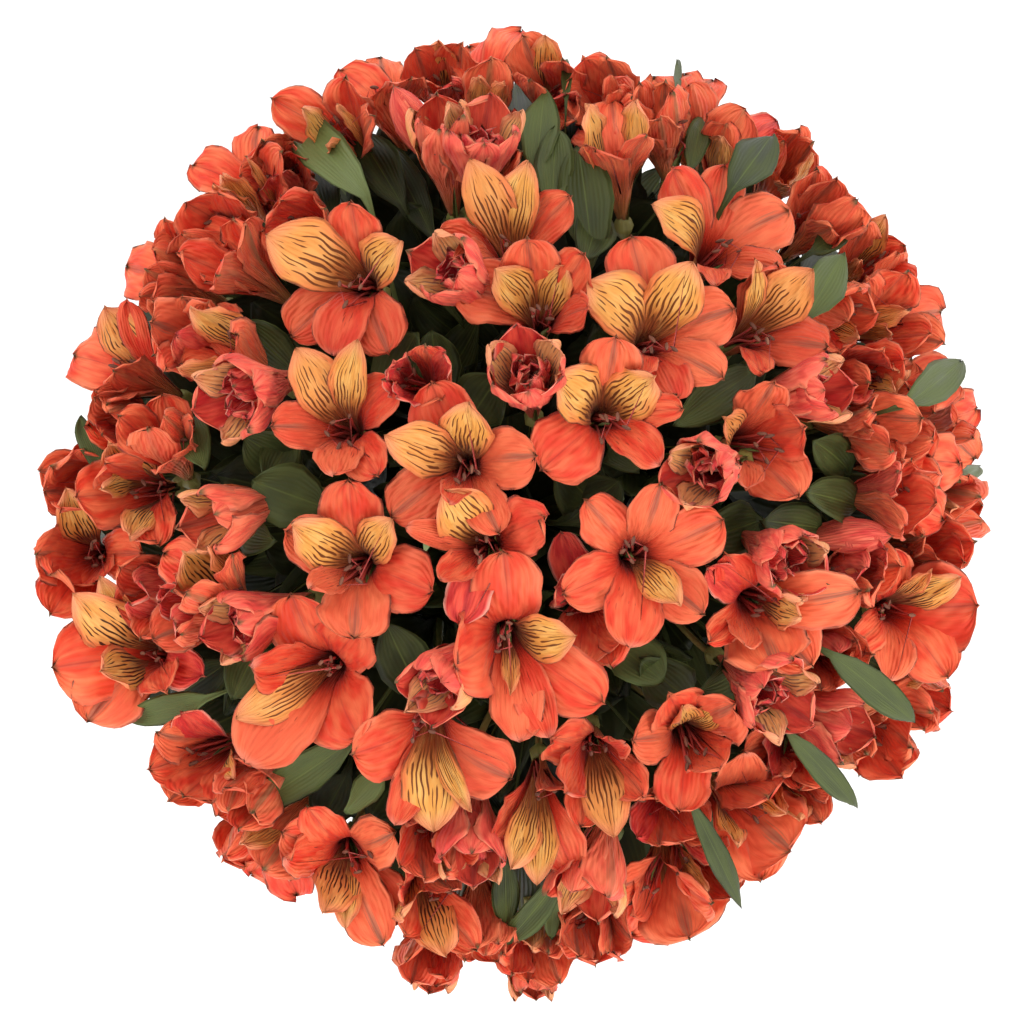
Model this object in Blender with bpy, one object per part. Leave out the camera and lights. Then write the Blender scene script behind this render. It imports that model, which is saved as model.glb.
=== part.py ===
"""A hand-tied bouquet of alstroemeria, standing on its own cut stem ends.

Twenty flowering stems are laid in a spiral, so that they cross at one waist without touching and fan out
above it into a dome of florets and below it into a ring of feet. Each stem is one grown piece: its stalk,
leaves, flower stalks, florets and buds are joined in one solid. A twine binding holds the waist.
Metres, +Z up. The origin is under the middle of the bouquet, on the surface that it stands on.
"""

import math

import bmesh
import bpy
from mathutils import Matrix, Vector
from mathutils.bvhtree import BVHTree

# ---- driving dimensions, metres ----
DOME_R = 0.170  # radius of the dome of florets, as seen from above
MOUTH_R = 0.165  # distance from the dome's centre to the middle of a floret's mouth
DOME_Z = 0.235  # height of the dome's centre
WAIST_Z = 0.155  # height of the tie
HUB_R = 0.070  # distance from the dome's centre to where a stem's flower stalks part
STEM_RAD = 0.0023
STALK_RAD = 0.0011  # flower stalk
HUB_KNOT = 0.0058  # the swelling that the flower stalks grow from
FLORET_LEN = 0.046
BUD_LEN = 0.036
TWIST = 46.0  # sideways run of the spiral for each metre of height, per metre from the axis
INNER_RING, INNER_TILT, INNER_TURN = 7, 36.0, 30.0
OUTER_RING, OUTER_TILT, OUTER_TURN = 12, 74.0, 15.0
TWINE_RAD = 0.0013
TWINE_TURNS = 3
GAP = 0.0004

# ---- the florets, read from the top view (pixels of a 1024 frame, centre 508,512, dome radius 480) ----
# those that face the viewer. name: throat, size, lift in mm, and its petals: kind (o outer, y golden inner,
# c coral inner, r crimson), tip in the top view, width in the same pixels
FACING = {
    "F01": ((361, 280), 1.0, 2, (("o", 349, 199, 50), ("y", 269, 237, 64), ("o", 287, 338, 54), ("c", 335, 358, 50), ("o", 388, 354, 54), ("y", 405, 243, 50))),
    "F02": ((345, 425), 1.0, 0, (("y", 297, 347, 48), ("y", 361, 341, 36), ("o", 395, 380, 46), ("o", 269, 425, 48), ("c", 335, 476, 44), ("o", 378, 476, 46))),
    "F03": ((463, 462), 1.0, 4, (("o", 430, 380, 60), ("y", 386, 436, 56), ("o", 388, 519, 54), ("c", 470, 520, 30), ("o", 500, 535, 42), ("o", 538, 455, 58), ("y", 471, 402, 52))),
    "F04": ((540, 312), 1.0, -1, (("o", 527, 235, 56), ("y", 495, 275, 44), ("o", 451, 280, 60), ("o", 590, 305, 40), ("o", 585, 250, 48), ("y", 567, 270, 36))),
    "F06": ((511, 252), 1.0, -5, (("y", 470, 164, 46), ("y", 530, 165, 40), ("o", 572, 192, 46), ("o", 436, 228, 36), ("c", 455, 264, 34))),
    "F07": ((650, 338), 1.0, 1, (("o", 632, 232, 64), ("y", 583, 284, 62), ("c", 643, 377, 24), ("o", 680, 398, 46), ("o", 727, 378, 48), ("o", 739, 306, 56), ("y", 690, 265, 54))),
    "F08": ((605, 413), 1.0, 5, (("o", 617, 334, 56), ("y", 554, 377, 56), ("o", 543, 466, 64), ("c", 660, 463, 28), ("o", 686, 408, 34), ("y", 653, 378, 50))),
    "F09": ((710, 253), 1.0, -2, (("o", 674, 163, 52), ("y", 648, 210, 46), ("o", 727, 160, 48), ("o", 793, 206, 62), ("o", 785, 268, 38), ("c", 715, 288, 30))),
    "F10": ((753, 330), 1.0, 1, (("y", 808, 273, 50), ("y", 751, 263, 24), ("o", 832, 345, 56), ("o", 780, 260, 46), ("o", 765, 372, 30))),
    "F11": ((747, 441), 1.0, 0, (("o", 777, 380, 48), ("y", 720, 418, 38), ("o", 808, 427, 56), ("o", 802, 499, 62), ("c", 745, 490, 34))),
    "F13": ((638, 559), 1.0, 3, (("o", 585, 499, 48), ("o", 664, 482, 46), ("o", 727, 519, 56), ("o", 562, 596, 50), ("y", 678, 604, 36), ("o", 707, 616, 52), ("c", 628, 648, 54))),
    "F14": ((512, 641), 1.08, 7, (("o", 503, 550, 66), ("o", 454, 668, 76), ("y", 575, 632, 46), ("o", 607, 706, 60), ("c", 520, 741, 50), ("c", 549, 737, 38), ("y", 510, 690, 18))),
    "F15": ((358, 562), 1.0, 2, (("o", 347, 478, 58), ("y", 295, 525, 50), ("o", 283, 530, 52), ("c", 312, 588, 32), ("o", 353, 640, 66), ("o", 434, 592, 62), ("y", 396, 519, 42))),
    "F16": ((484, 543), 1.0, -3, (("y", 447, 490, 56), ("o", 546, 516, 54), ("c", 406, 527, 26), ("c", 441, 580, 32), ("r", 458, 626, 44))),
    "F17": ((323, 671), 1.06, 1, (("o", 288, 594, 64), ("o", 357, 630, 62), ("o", 358, 742, 76), ("c", 247, 763, 72), ("y", 240, 716, 44), ("c", 254, 668, 50))),
    "F19": ((431, 731), 1.0, 3, (("o", 350, 758, 64), ("c", 395, 823, 34), ("y", 435, 826, 58), ("y", 473, 806, 20), ("o", 515, 783, 66))),
    "F20": ((597, 754), 0.95, 1, (("o", 552, 741, 54), ("c", 566, 790, 44), ("c", 625, 741, 28), ("o", 581, 831, 38), ("y", 613, 832, 46), ("o", 645, 800, 40))),
    "F21": ((540, 793), 0.95, -1, (("y", 511, 862, 36), ("y", 537, 878, 36), ("o", 575, 876, 46), ("o", 492, 842, 34), ("o", 566, 792, 36))),
    "F22": ((690, 735), 0.95, 2, (("o", 671, 695, 58), ("y", 680, 703, 34), ("o", 736, 706, 66), ("o", 632, 741, 52), ("o", 680, 815, 54), ("y", 722, 700, 24), ("c", 720, 768, 48))),
}
# those that lean outwards. name: foot of the tube in the top view, and the petals as above, each on the near or
# the far side of its floret, with the lift in mm for those that sit lower than the rest
LEANING = {
    "F23": ((708, 778), (("o", 792, 852, 84, "f"), ("y", 739, 846, 28, "n"), ("y", 786, 814, 22, "n"), ("o", 770, 800, 60, "n"), ("o", 755, 886, 74, "f"), ("c", 745, 752, 50, "n"))),
    "F25": ((662, 828), (("o", 630, 936, 64, "f"), ("o", 690, 940, 84, "n"), ("o", 612, 892, 44, "f"), ("o", 712, 905, 50, "f"), ("y", 668, 938, 40, "f"))),
    "F26": ((668, 820), (("o", 733, 897, 44, "n"), ("r", 724, 856, 34, "f"), ("y", 708, 892, 26, "n"), ("o", 735, 880, 40, "f"))),
    "F28": ((415, 858), (("y", 403, 918, 50, "n"), ("y", 446, 957, 52, "n"), ("o", 478, 952, 44, "f"), ("c", 452, 890, 38, "n"), ("o", 400, 885, 40, "n"))),
    "F30": ((352, 833), (("y", 325, 913, 56, "f"), ("y", 346, 929, 36, "f"), ("o", 280, 832, 56, "n"), ("o", 385, 948, 50, "f"), ("o", 402, 925, 56, "f"), ("o", 395, 832, 50, "n"), ("c", 285, 858, 46, "f"))),
    "F31": ((322, 785), (("o", 262, 872, 56, "n"), ("o", 224, 857, 28, "n"), ("o", 250, 876, 44, "f"), ("o", 292, 892, 46, "f"), ("y", 240, 845, 40, "n"))),
    "F32": ((243, 735), (("o", 183, 797, 74, "n"), ("o", 150, 762, 44, "f"), ("o", 212, 805, 56, "f"), ("r", 180, 712, 40, "f"), ("y", 232, 778, 28, "n"), ("o", 168, 802, 44, "f"), ("o", 156, 732, 44, "f"))),
    "F33": ((176, 487), (("y", 108, 443, 56, "n"), ("y", 102, 489, 30, "n"), ("y", 130, 537, 42, "f"), ("o", 74, 497, 62, "f"), ("o", 105, 462, 56, "f"), ("o", 160, 547, 46, "f"))),
    "F36": ((258, 622), (("y", 184, 552, 60, "n"), ("o", 162, 552, 46, "f"), ("o", 232, 553, 32, "n"), ("o", 185, 592, 44, "f"), ("y", 208, 545, 34, "f"))),
    "F38": ((178, 656), (("y", 100, 671, 56, "n"), ("y", 172, 614, 36, "n"), ("y", 72, 593, 62, "f"), ("y", 98, 574, 38, "f"), ("o", 52, 663, 74, "f"), ("o", 84, 719, 64, "f"), ("r", 206, 676, 40, "n"), ("o", 166, 692, 46, "f"))),
    "F39": ((122, 480), (("o", 45, 466, 68, "f"), ("o", 38, 492, 52, "f"), ("o", 75, 444, 52, "f"), ("o", 60, 510, 50, "n"))),
    "F40": ((182, 398), (("y", 104, 306, 58, "n"), ("o", 68, 354, 62, "f"), ("o", 112, 370, 46, "n"), ("o", 88, 390, 44, "f"), ("o", 126, 298, 28, "f"), ("o", 106, 404, 36, "n"))),
    "F41": ((290, 386), (("y", 190, 308, 50, "n"), ("y", 176, 367, 36, "n"), ("o", 218, 306, 44, "f"), ("o", 196, 340, 44, "f"))),
    "F42": ((292, 303), (("o", 243, 222, 46, "n"), ("o", 176, 252, 48, "n"), ("o", 200, 230, 54, "f"), ("o", 215, 275, 40, "f"))),
    "F43": ((228, 306), (("o", 163, 213, 32, "f"), ("o", 145, 247, 58, "f"), ("o", 113, 258, 64, "f"), ("o", 143, 268, 42, "n"), ("o", 150, 300, 46, "n"), ("o", 128, 298, 44, "f"))),
    "F44": ((284, 234), (("o", 181, 160, 48, "f"), ("y", 217, 166, 40, "f"), ("y", 212, 185, 30, "n"), ("y", 247, 157, 14, "n"), ("o", 257, 117, 46, "f"), ("o", 281, 150, 48, "n"))),
    "F45": ((372, 176), (("o", 270, 97, 48, "f"), ("y", 303, 108, 36, "f"), ("y", 326, 146, 24, "n"), ("y", 337, 103, 14, "n"), ("o", 345, 76, 46, "f"), ("o", 372, 115, 38, "n"))),
    "F46": ((415, 165), (("o", 338, 68, 46, "f"), ("y", 372, 70, 44, "f"), ("o", 388, 83, 46, "n"), ("o", 381, 46, 42, "f"), ("o", 412, 70, 42, "f"))),
    "F47": ((452, 128), (("y", 438, 40, 40, "f"), ("o", 414, 44, 46, "f"), ("o", 462, 42, 46, "f"), ("c", 424, 80, 24, "n"), ("r", 452, 82, 36, "n"))),
    "F49": ((548, 122), (("y", 545, 35, 40, "f"), ("o", 522, 34, 48, "f"), ("o", 562, 60, 44, "f"), ("o", 530, 78, 42, "n"), ("r", 566, 92, 36, "n"), ("o", 577, 122, 36, "n"))),
    "F50": ((622, 150), (("o", 583, 57, 48, "f"), ("o", 612, 74, 34, "n"), ("o", 606, 58, 44, "f"), ("o", 562, 90, 44, "f"), ("o", 624, 80, 34, "f"))),
    "F51": ((623, 222), (("y", 588, 103, 50, "n"), ("y", 637, 99, 50, "n"), ("o", 650, 135, 28, "f"), ("o", 612, 98, 44, "f"), ("o", 578, 128, 40, "f"))),
    "F52": ((692, 180), (("o", 690, 82, 46, "n"), ("o", 650, 68, 52, "f"), ("o", 682, 64, 44, "f"), ("o", 722, 74, 50, "f"), ("y", 664, 115, 26, "n"))),
    "F53": ((710, 205), (("y", 722, 136, 40, "n"), ("o", 748, 110, 54, "f"), ("r", 778, 120, 34, "f"), ("o", 728, 122, 40, "f"))),
    "F54": ((752, 212), (("o", 786, 140, 38, "n"), ("y", 812, 152, 32, "f"), ("o", 806, 122, 46, "f"), ("o", 819, 137, 42, "f"), ("y", 790, 186, 24, "n"))),
    "F55": ((778, 262), (("o", 838, 178, 46, "n"), ("o", 818, 168, 44, "f"), ("o", 858, 198, 52, "f"), ("c", 832, 228, 34, "n"), ("o", 866, 225, 44, "f"))),
    "F56": ((828, 302), (("o", 868, 221, 38, "n"), ("y", 886, 216, 38, "f"), ("o", 905, 250, 46, "f"), ("y", 860, 260, 22, "n"), ("o", 918, 285, 46, "f"))),
    "F57": ((836, 337), (("o", 915, 268, 62, "f"), ("o", 946, 312, 62, "f"), ("y", 908, 310, 28, "n"), ("y", 893, 335, 22, "n"), ("o", 932, 334, 42, "n"), ("o", 950, 345, 48, "f"), ("o", 868, 277, 36, "n"))),
    "F59": ((848, 414), (("y", 902, 370, 50, "n"), ("o", 915, 388, 48, "f"), ("o", 958, 372, 52, "f"), ("o", 925, 418, 38, "n"))),
    "F60": ((842, 462), (("o", 905, 460, 36, "n"), ("o", 935, 440, 52, "f"), ("c", 938, 472, 52, "n"), ("o", 962, 462, 52, "f"))),
    "F61": ((872, 415), (("o", 978, 408, 50, "f"), ("o", 957, 425, 46, "n"), ("o", 975, 438, 46, "n"), ("o", 950, 397, 44, "f"), ("o", 978, 460, 46, "f"))),
    "F62": ((828, 495), (("o", 938, 503, 54, "n"), ("c", 930, 462, 44, "f"), ("o", 905, 528, 44, "n"), ("r", 900, 470, 34, "n"), ("o", 945, 520, 50, "f"))),
    "F63": ((882, 512), (("o", 985, 498, 62, "f"), ("y", 958, 508, 30, "n"), ("o", 988, 520, 58, "f"), ("o", 978, 475, 52, "f"), ("o", 960, 535, 50, "n"))),
    "F66": ((741, 592), (("y", 801, 617, 44, "n"), ("o", 777, 669, 74, "f"), ("o", 708, 643, 30, "n"), ("o", 864, 590, 56, "f"), ("o", 815, 668, 60, "f"), ("c", 745, 645, 36, "n"), ("r", 706, 566, 34, "f"), ("o", 724, 552, 40, "f"))),
    "F67": ((872, 606), (("y", 962, 577, 40, "n"), ("y", 932, 571, 24, "n"), ("o", 888, 545, 40, "f"), ("o", 980, 605, 86, "f"), ("o", 955, 683, 66, "f"), ("o", 852, 648, 34, "n"), ("c", 888, 682, 46, "f"))),
    "F68": ((868, 668), (("o", 942, 712, 68, "f"), ("y", 930, 681, 28, "n"), ("o", 925, 730, 54, "f"), ("o", 952, 690, 44, "f"))),
    "F69": ((842, 702), (("o", 903, 777, 60, "n"), ("o", 910, 748, 52, "f"), ("o", 872, 762, 44, "f"), ("o", 885, 720, 44, "n"))),
    "F72": ((765, 748), (("o", 833, 790, 38, "n"), ("o", 842, 788, 44, "f"), ("y", 800, 820, 54, "n"), ("y", 785, 815, 24, "f"), ("o", 822, 824, 46, "f"), ("c", 782, 775, 32, "n"))),
    "F74": ((108, 553), (("y", 66, 488, 46, "n"), ("o", 30, 553, 58, "f"), ("o", 145, 552, 46, "n"), ("o", 48, 574, 66, "n"), ("o", 47, 618, 62, "f"))),
    "F78": ((428, 392), (("r", 395, 362, 30, "n"), ("r", 445, 352, 34, "n"), ("r", 398, 395, 30, "n"), ("o", 425, 345, 34, "n"), ("r", 384, 380, 26, "n"))),
    "F79": ((482, 155), (("o", 492, 49, 48, "n"), ("o", 468, 44, 46, "f"), ("r", 490, 32, 38, "f"), ("o", 518, 60, 46, "f"), ("y", 478, 76, 28, "n"), ("y", 505, 82, 24, "n"))),
    "F80": ((668, 182), (("o", 660, 115, 36, "n"), ("o", 640, 74, 44, "f"), ("o", 672, 90, 44, "f"), ("o", 632, 95, 36, "f"))),
    "F81": ((812, 422), (("o", 924, 418, 50, "n"), ("o", 874, 431, 18, "n"), ("o", 925, 440, 52, "f"), ("o", 895, 452, 46, "n"))),
    "F82": ((880, 545), (("o", 984, 542, 54, "f"), ("o", 945, 562, 38, "n"), ("o", 965, 562, 52, "f"), ("o", 925, 535, 34, "n"))),
    "F84": ((592, 878), (("o", 580, 965, 58, "f"), ("o", 640, 945, 62, "f"), ("o", 558, 945, 52, "f"), ("o", 612, 962, 58, "f"))),
    "F85": ((532, 900), (("o", 503, 955, 46, "f"), ("o", 560, 984, 44, "f"), ("o", 548, 955, 40, "n"), ("o", 512, 975, 40, "f"), ("y", 532, 950, 44, "n"))),
    "F86": ((440, 900), (("o", 460, 984, 52, "f"), ("o", 406, 962, 44, "n"), ("o", 470, 955, 46, "f"), ("o", 412, 984, 44, "f"))),
    "F87": ((478, 862), (("o", 487, 966, 36, "n"), ("o", 466, 962, 36, "f"), ("o", 498, 945, 38, "n"), ("o", 478, 950, 44, "f"))),
    "F88": ((432, 790), (("o", 448, 872, 48, "n"), ("o", 425, 880, 44, "f"), ("o", 480, 852, 46, "f"), ("o", 400, 868, 44, "f"))),
    "F89": ((290, 748), (("o", 214, 790, 48, "n"), ("o", 230, 830, 48, "f"), ("o", 250, 815, 48, "n"), ("o", 218, 812, 46, "f"))),
    "F91": ((190, 478), (("o", 163, 415, 32, "n"), ("o", 190, 420, 32, "n"), ("o", 148, 425, 46, "f"), ("o", 118, 415, 44, "f"))),
    "F92": ((238, 612), (("r", 158, 603, 36, "f"), ("r", 172, 620, 38, "n"), ("r", 160, 588, 34, "f"), ("o", 180, 635, 34, "f"))),
    "F93": ((235, 352), (("o", 150, 322, 58, "f"), ("o", 165, 370, 46, "f"), ("o", 208, 303, 46, "f"), ("r", 175, 335, 44, "n"))),
    "F95": ((585, 592), (("r", 560, 530, 36, "f"), ("o", 612, 668, 62, "n"), ("o", 578, 668, 54, "n"), ("r", 556, 588, 36, "f"), ("o", 628, 640, 44, "f")), -14),
    "F96": ((668, 776), (("r", 638, 838, 40, "n"), ("o", 660, 846, 44, "n"), ("o", 702, 836, 44, "f"), ("o", 655, 800, 40, "f"), ("o", 690, 800, 40, "n")), -8),
    "F97": ((826, 374), (("o", 884, 350, 46, "n"), ("o", 906, 360, 44, "f"), ("r", 852, 400, 44, "n"), ("o", 872, 382, 44, "n"), ("y", 896, 392, 40, "f")), -6),
    "F98": ((822, 566), (("r", 887, 550, 40, "n"), ("o", 884, 580, 46, "f"), ("r", 868, 568, 40, "f"), ("o", 872, 590, 40, "n")), -10),
    "F99": ((205, 592), (("r", 128, 602, 36, "n"), ("o", 118, 566, 46, "f"), ("o", 140, 640, 40, "f"), ("r", 135, 582, 36, "f")), -8),
    "F100": ((300, 196), (("o", 262, 140, 46, "n"), ("o", 306, 160, 40, "n"), ("o", 240, 176, 44, "f"), ("r", 272, 176, 40, "n")), -8),
    "F101": ((470, 212), (("o", 512, 110, 44, "f"), ("r", 470, 130, 40, "f"), ("o", 520, 150, 40, "n"), ("o", 446, 150, 40, "n")), -10),
    "F102": ((790, 720), (("o", 742, 752, 44, "f"), ("o", 826, 782, 48, "n"), ("o", 800, 790, 46, "f"), ("r", 770, 770, 40, "n"), ("o", 846, 752, 44, "f")), -8),
    "F103": ((262, 800), (("o", 218, 850, 50, "f"), ("o", 244, 868, 44, "n"), ("o", 270, 872, 44, "f"), ("o", 226, 822, 40, "n")), -8),
    "F104": ((795, 290), (("o", 850, 322, 48, "n"), ("o", 862, 290, 44, "f"), ("y", 858, 338, 30, "n"), ("o", 842, 352, 44, "f")), -10),
    "F105": ((806, 640), (("o", 858, 640, 46, "f"), ("o", 850, 672, 46, "f"), ("o", 822, 690, 40, "n"), ("r", 840, 655, 40, "n")), -10),
    "F106": ((342, 240), (("o", 280, 200, 44, "f"), ("o", 300, 240, 44, "n"), ("o", 262, 232, 44, "f")), -10),
    "F107": ((160, 422), (("o", 94, 398, 46, "f"), ("o", 102, 434, 44, "f"), ("o", 122, 440, 40, "n"), ("o", 108, 412, 40, "n")), -4),
    "F94": ((268, 262), (("o", 185, 203, 64, "f"), ("o", 181, 232, 60, "f"), ("o", 218, 190, 50, "f"), ("o", 190, 262, 46, "n"))),
}
# half open ones and buds: name, mouth in the top view, lean, its direction, spread, how far open (0 is a bud),
# turn, lift in mm, how double
SIDE = (
    ("F05", 525, 360, 24, 100, 92, 0.45, 0, 9, 2),
    ("F12", 694, 474, 24, 196, 84, 0.30, 0, 9, 1),
    ("F18", 425, 695, 44, 220, 84, 0.30, 60, 10, 1),
    ("F24", 584, 905, 62, 255, 92, 0.40, 30, 6, 0),
    ("F27", 432, 978, 80, 262, 62, 0.30, 0, 3, 0),
    ("F29", 472, 868, 48, 268, 74, 0.35, 0, 7, 1),
    ("F34", 200, 522, 48, 196, 76, 0.30, 0, 7, 0),
    ("F35", 222, 402, 40, 200, 100, 0.45, 0, 7, 2),
    ("F37", 222, 630, 46, 200, 82, 0.35, 0, 5, 1),
    ("F58", 838, 388, 52, 8, 76, 0.30, 0, 5, 1),
    ("F64", 888, 536, 66, 0, 50, 0, 0, -6, 0),
    ("F65", 802, 568, 30, -30, 84, 0.34, 0, 9, 1),
    ("F70", 780, 700, 36, -34, 100, 0.50, 0, 6, 2),
    ("F71", 862, 735, 62, -22, 84, 0.30, 0, 4, 1),
    ("F73", 536, 986, 82, 272, 62, 0.30, 0, 3, 0),
    ("F76", 440, 114, 50, 98, 66, 0.30, 0, 3, 0),
    ("F75", 396, 90, 66, 118, 60, 0, 0, 4, 0),
    ("F83", 484, 118, 46, 84, 92, 0.45, 0, 5, 2),
    ("F77", 448, 268, 40, 150, 80, 0.35, 0, 2, 1),
)
# leaves that show: tip and foot of the blade in the top view, their depths as shares of the mouths' radius,
# width in mm, lightness, twist, how blunt
LEAVES = (
    (80, 416, 110, 472, 0.99, 0.93, 10, 0.55, 0.1, 0.7), (282, 112, 366, 196, 0.99, 0.92, 17, 0.80, 0.1, 0.3),
    (354, 128, 402, 205, 0.90, 0.80, 16, -0.2, -0.2, 0.6), (386, 146, 432, 235, 0.84, 0.76, 13, -0.2, 0.2, 0.5),
    (545, 92, 536, 172, 0.97, 0.88, 13, 0.45, 0.2, 0.2), (568, 33, 566, 92, 1.0, 0.97, 3, 0.2, 0.0, 0.0),
    (556, 128, 552, 205, 0.93, 0.86, 14, 0.35, 0.1, 0.4), (578, 146, 592, 256, 0.92, 0.82, 22, 0.20, 0.0, 0.7),
    (702, 117, 690, 168, 0.96, 0.90, 9, 0.35, 0.0, 0.2), (770, 138, 733, 188, 1.0, 0.95, 14, 0.05, 0.1, 0.5),
    (843, 255, 806, 312, 0.95, 0.86, 13, 0.60, -0.2, 0.3), (848, 230, 812, 252, 0.96, 0.90, 9, 0.15, 0.1, 0.3),
    (960, 361, 906, 404, 1.03, 1.0, 12, 0.60, 0.1, 0.4), (911, 721, 822, 658, 1.01, 0.93, 16, 0.70, 0.2, 0.3),
    (855, 805, 782, 738, 1.01, 0.95, 12, 0.60, -0.2, 0.2), (740, 904, 684, 808, 1.01, 0.95, 12, 0.50, 0.2, 0.3),
    (253, 806, 350, 742, 0.93, 0.84, 15, 0.50, 0.1, 0.3), (128, 718, 206, 698, 1.0, 0.92, 11, 0.70, 0.1, 0.2),
    (500, 948, 566, 868, 0.98, 0.90, 11, 0.25, 0.4, 0.2), (506, 925, 506, 858, 0.95, 0.88, 10, 0.05, 0.0, 0.4),
    (550, 938, 556, 875, 0.97, 0.88, 8, 0.45, 0.3, 0.3),
    (979, 467, 950, 480, 1.0, 0.98, 6, 0.5, 0.1, 0.2), (677, 60, 676, 100, 1.0, 0.97, 3, 0.3, 0.1, 0.0),
    (418, 332, 385, 398, 0.86, 0.72, 22, 0.20, 0.3, 0.8), (432, 330, 440, 400, 0.84, 0.72, 20, 0.05, -0.2, 0.8),
    (664, 682, 612, 640, 0.90, 0.80, 22, 0.40, 0.4, 0.6), (640, 660, 690, 700, 0.88, 0.80, 22, 0.10, 0.1, 0.8),
    (672, 426, 752, 372, 0.90, 0.80, 16, 0.35, 0.1, 0.3), (500, 376, 470, 420, 0.88, 0.78, 24, 0.10, 0.2, 0.9),
    (252, 480, 322, 506, 0.93, 0.82, 26, 0.30, 0.2, 0.9), (204, 470, 190, 414, 0.95, 0.88, 12, 0.50, 0.4, 0.4),
    (244, 436, 300, 470, 0.92, 0.80, 22, 0.15, 0.2, 0.9), (266, 486, 292, 436, 0.90, 0.82, 14, 0.25, 0.3, 0.5),
    (242, 322, 296, 372, 0.92, 0.82, 18, 0.15, 0.2, 0.8), (276, 540, 236, 528, 0.90, 0.84, 18, 0.20, -0.1, 0.8),
    (232, 700, 262, 640, 0.94, 0.84, 18, 0.20, 0.3, 0.6), (386, 622, 420, 690, 0.86, 0.76, 22, 0.05, -0.2, 0.8),
    (344, 812, 380, 772, 0.94, 0.86, 13, 0.75, 0.9, 0.5), (700, 540, 760, 520, 0.88, 0.78, 22, 0.10, 0.1, 0.8),
    (812, 440, 848, 470, 0.93, 0.84, 16, 0.15, 0.1, 0.7), (806, 492, 856, 506, 0.93, 0.84, 16, 0.15, -0.1, 0.7),
    (762, 520, 820, 528, 0.90, 0.82, 18, 0.08, 0.1, 0.7), (604, 850, 612, 812, 0.92, 0.86, 10, 0.30, 0.1, 0.5),
    (640, 470, 612, 446, 0.86, 0.76, 16, 0.25, 0.3, 0.6), (560, 470, 590, 500, 0.82, 0.72, 24, 0.05, 0.0, 0.9),
    (620, 480, 570, 520, 0.80, 0.70, 24, 0.02, 0.0, 0.9), (700, 690, 742, 668, 0.88, 0.80, 18, 0.15, 0.2, 0.8),
    (430, 250, 446, 300, 0.88, 0.78, 20, 0.10, 0.2, 0.8), (586, 260, 600, 210, 0.86, 0.80, 16, 0.10, 0.2, 0.8),
)
LEAF_WIDTH = 0.013
LEAF_THICK = 0.0009

VIEW_D = 2.2  # the plan is seen from this far above the dome's centre
PX = DOME_R / 480.0


def clear_scene():
    for obj in list(bpy.data.objects):
        bpy.data.objects.remove(obj, do_unlink=True)


def polar(tilt, turn):
    """Unit vector leaning tilt degrees from straight up towards turn degrees."""
    t, f = math.radians(tilt), math.radians(turn)
    return Vector((math.sin(t) * math.cos(f), math.sin(t) * math.sin(f), math.cos(t)))


def at_height(px, py, z):
    """The point at height z above the dome's centre that the top view shows at px, py."""
    k = (VIEW_D - z) / VIEW_D * PX
    return Vector(((px - 508.0) * k, (512.0 - py) * k, DOME_Z + z))


def on_dome(px, py, radius):
    """The point of a sphere about the dome's centre that the top view shows at px, py."""
    z = 0.0
    for _ in range(8):
        p = at_height(px, py, z)
        z = math.sqrt(max(radius * radius - p.x ** 2 - p.y ** 2, 0.0))
    return at_height(px, py, z)


def to_pixel(p):
    k = VIEW_D / (VIEW_D - (p.z - DOME_Z)) / PX
    return 508.0 + p.x * k, 512.0 - p.y * k


CENTRE = Vector((0, 0, DOME_Z))


def hubs():
    """Unit directions of the hubs from the dome's centre: one in the middle and two rings."""
    found = [Vector((0, 0, 1))]
    found += [polar(INNER_TILT, INNER_TURN + 360.0 / INNER_RING * i) for i in range(INNER_RING)]
    found += [polar(OUTER_TILT, OUTER_TURN + 360.0 / OUTER_RING * i) for i in range(OUTER_RING)]
    return found


def stem_point(hub, h):
    """Where the straight stem that ends at this hub is, h above the waist. Every stem follows the same
    twisted bundle, in which no two lines meet."""
    top = hub.z - WAIST_Z
    scale = math.sqrt(1 + (TWIST * top) ** 2)
    radius = math.hypot(hub.x, hub.y) / scale
    turn = math.atan2(hub.y, hub.x) - math.atan(TWIST * top)
    p = Vector((radius * math.cos(turn), radius * math.sin(turn), 0))
    side = Vector((-p.y, p.x, 0))
    return Vector((0, 0, WAIST_Z + h)) + p + side * (TWIST * h)


def bezier(a, b, c, d, count):
    points = []
    for i in range(count + 1):
        t = i / count
        s = 1 - t
        points.append(a * s**3 + b * (3 * s * s * t) + c * (3 * s * t * t) + d * t**3)
    return points


def mesh_object(name, bm):
    bmesh.ops.recalc_face_normals(bm, faces=bm.faces)
    mesh = bpy.data.meshes.new(name)
    bm.to_mesh(mesh)
    bm.free()
    return bpy.data.objects.new(name, mesh)


def tube(name, points, radius, resolution):
    """A solid tube along points, from a curve with a round bevel and filled caps."""
    curve = bpy.data.curves.new(name, "CURVE")
    curve.dimensions = "3D"
    curve.bevel_depth = radius
    curve.bevel_resolution = resolution
    curve.use_fill_caps = True
    spline = curve.splines.new("POLY")
    spline.points.add(len(points) - 1)
    for point, at in zip(spline.points, points):
        point.co = (*at, 1)
    obj = bpy.data.objects.new(name, curve)
    bpy.context.scene.collection.objects.link(obj)
    graph = bpy.context.evaluated_depsgraph_get()
    mesh = bpy.data.meshes.new_from_object(obj.evaluated_get(graph))
    bpy.data.objects.remove(obj, do_unlink=True)
    bm = bmesh.new()
    bm.from_mesh(mesh)
    bpy.data.meshes.remove(mesh)
    bmesh.ops.remove_doubles(bm, verts=bm.verts, dist=1e-5)
    return mesh_object(name, bm)


def frame_about(axis, up):
    side = axis.cross(up).normalized()
    return side, side.cross(axis).normalized()


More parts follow.
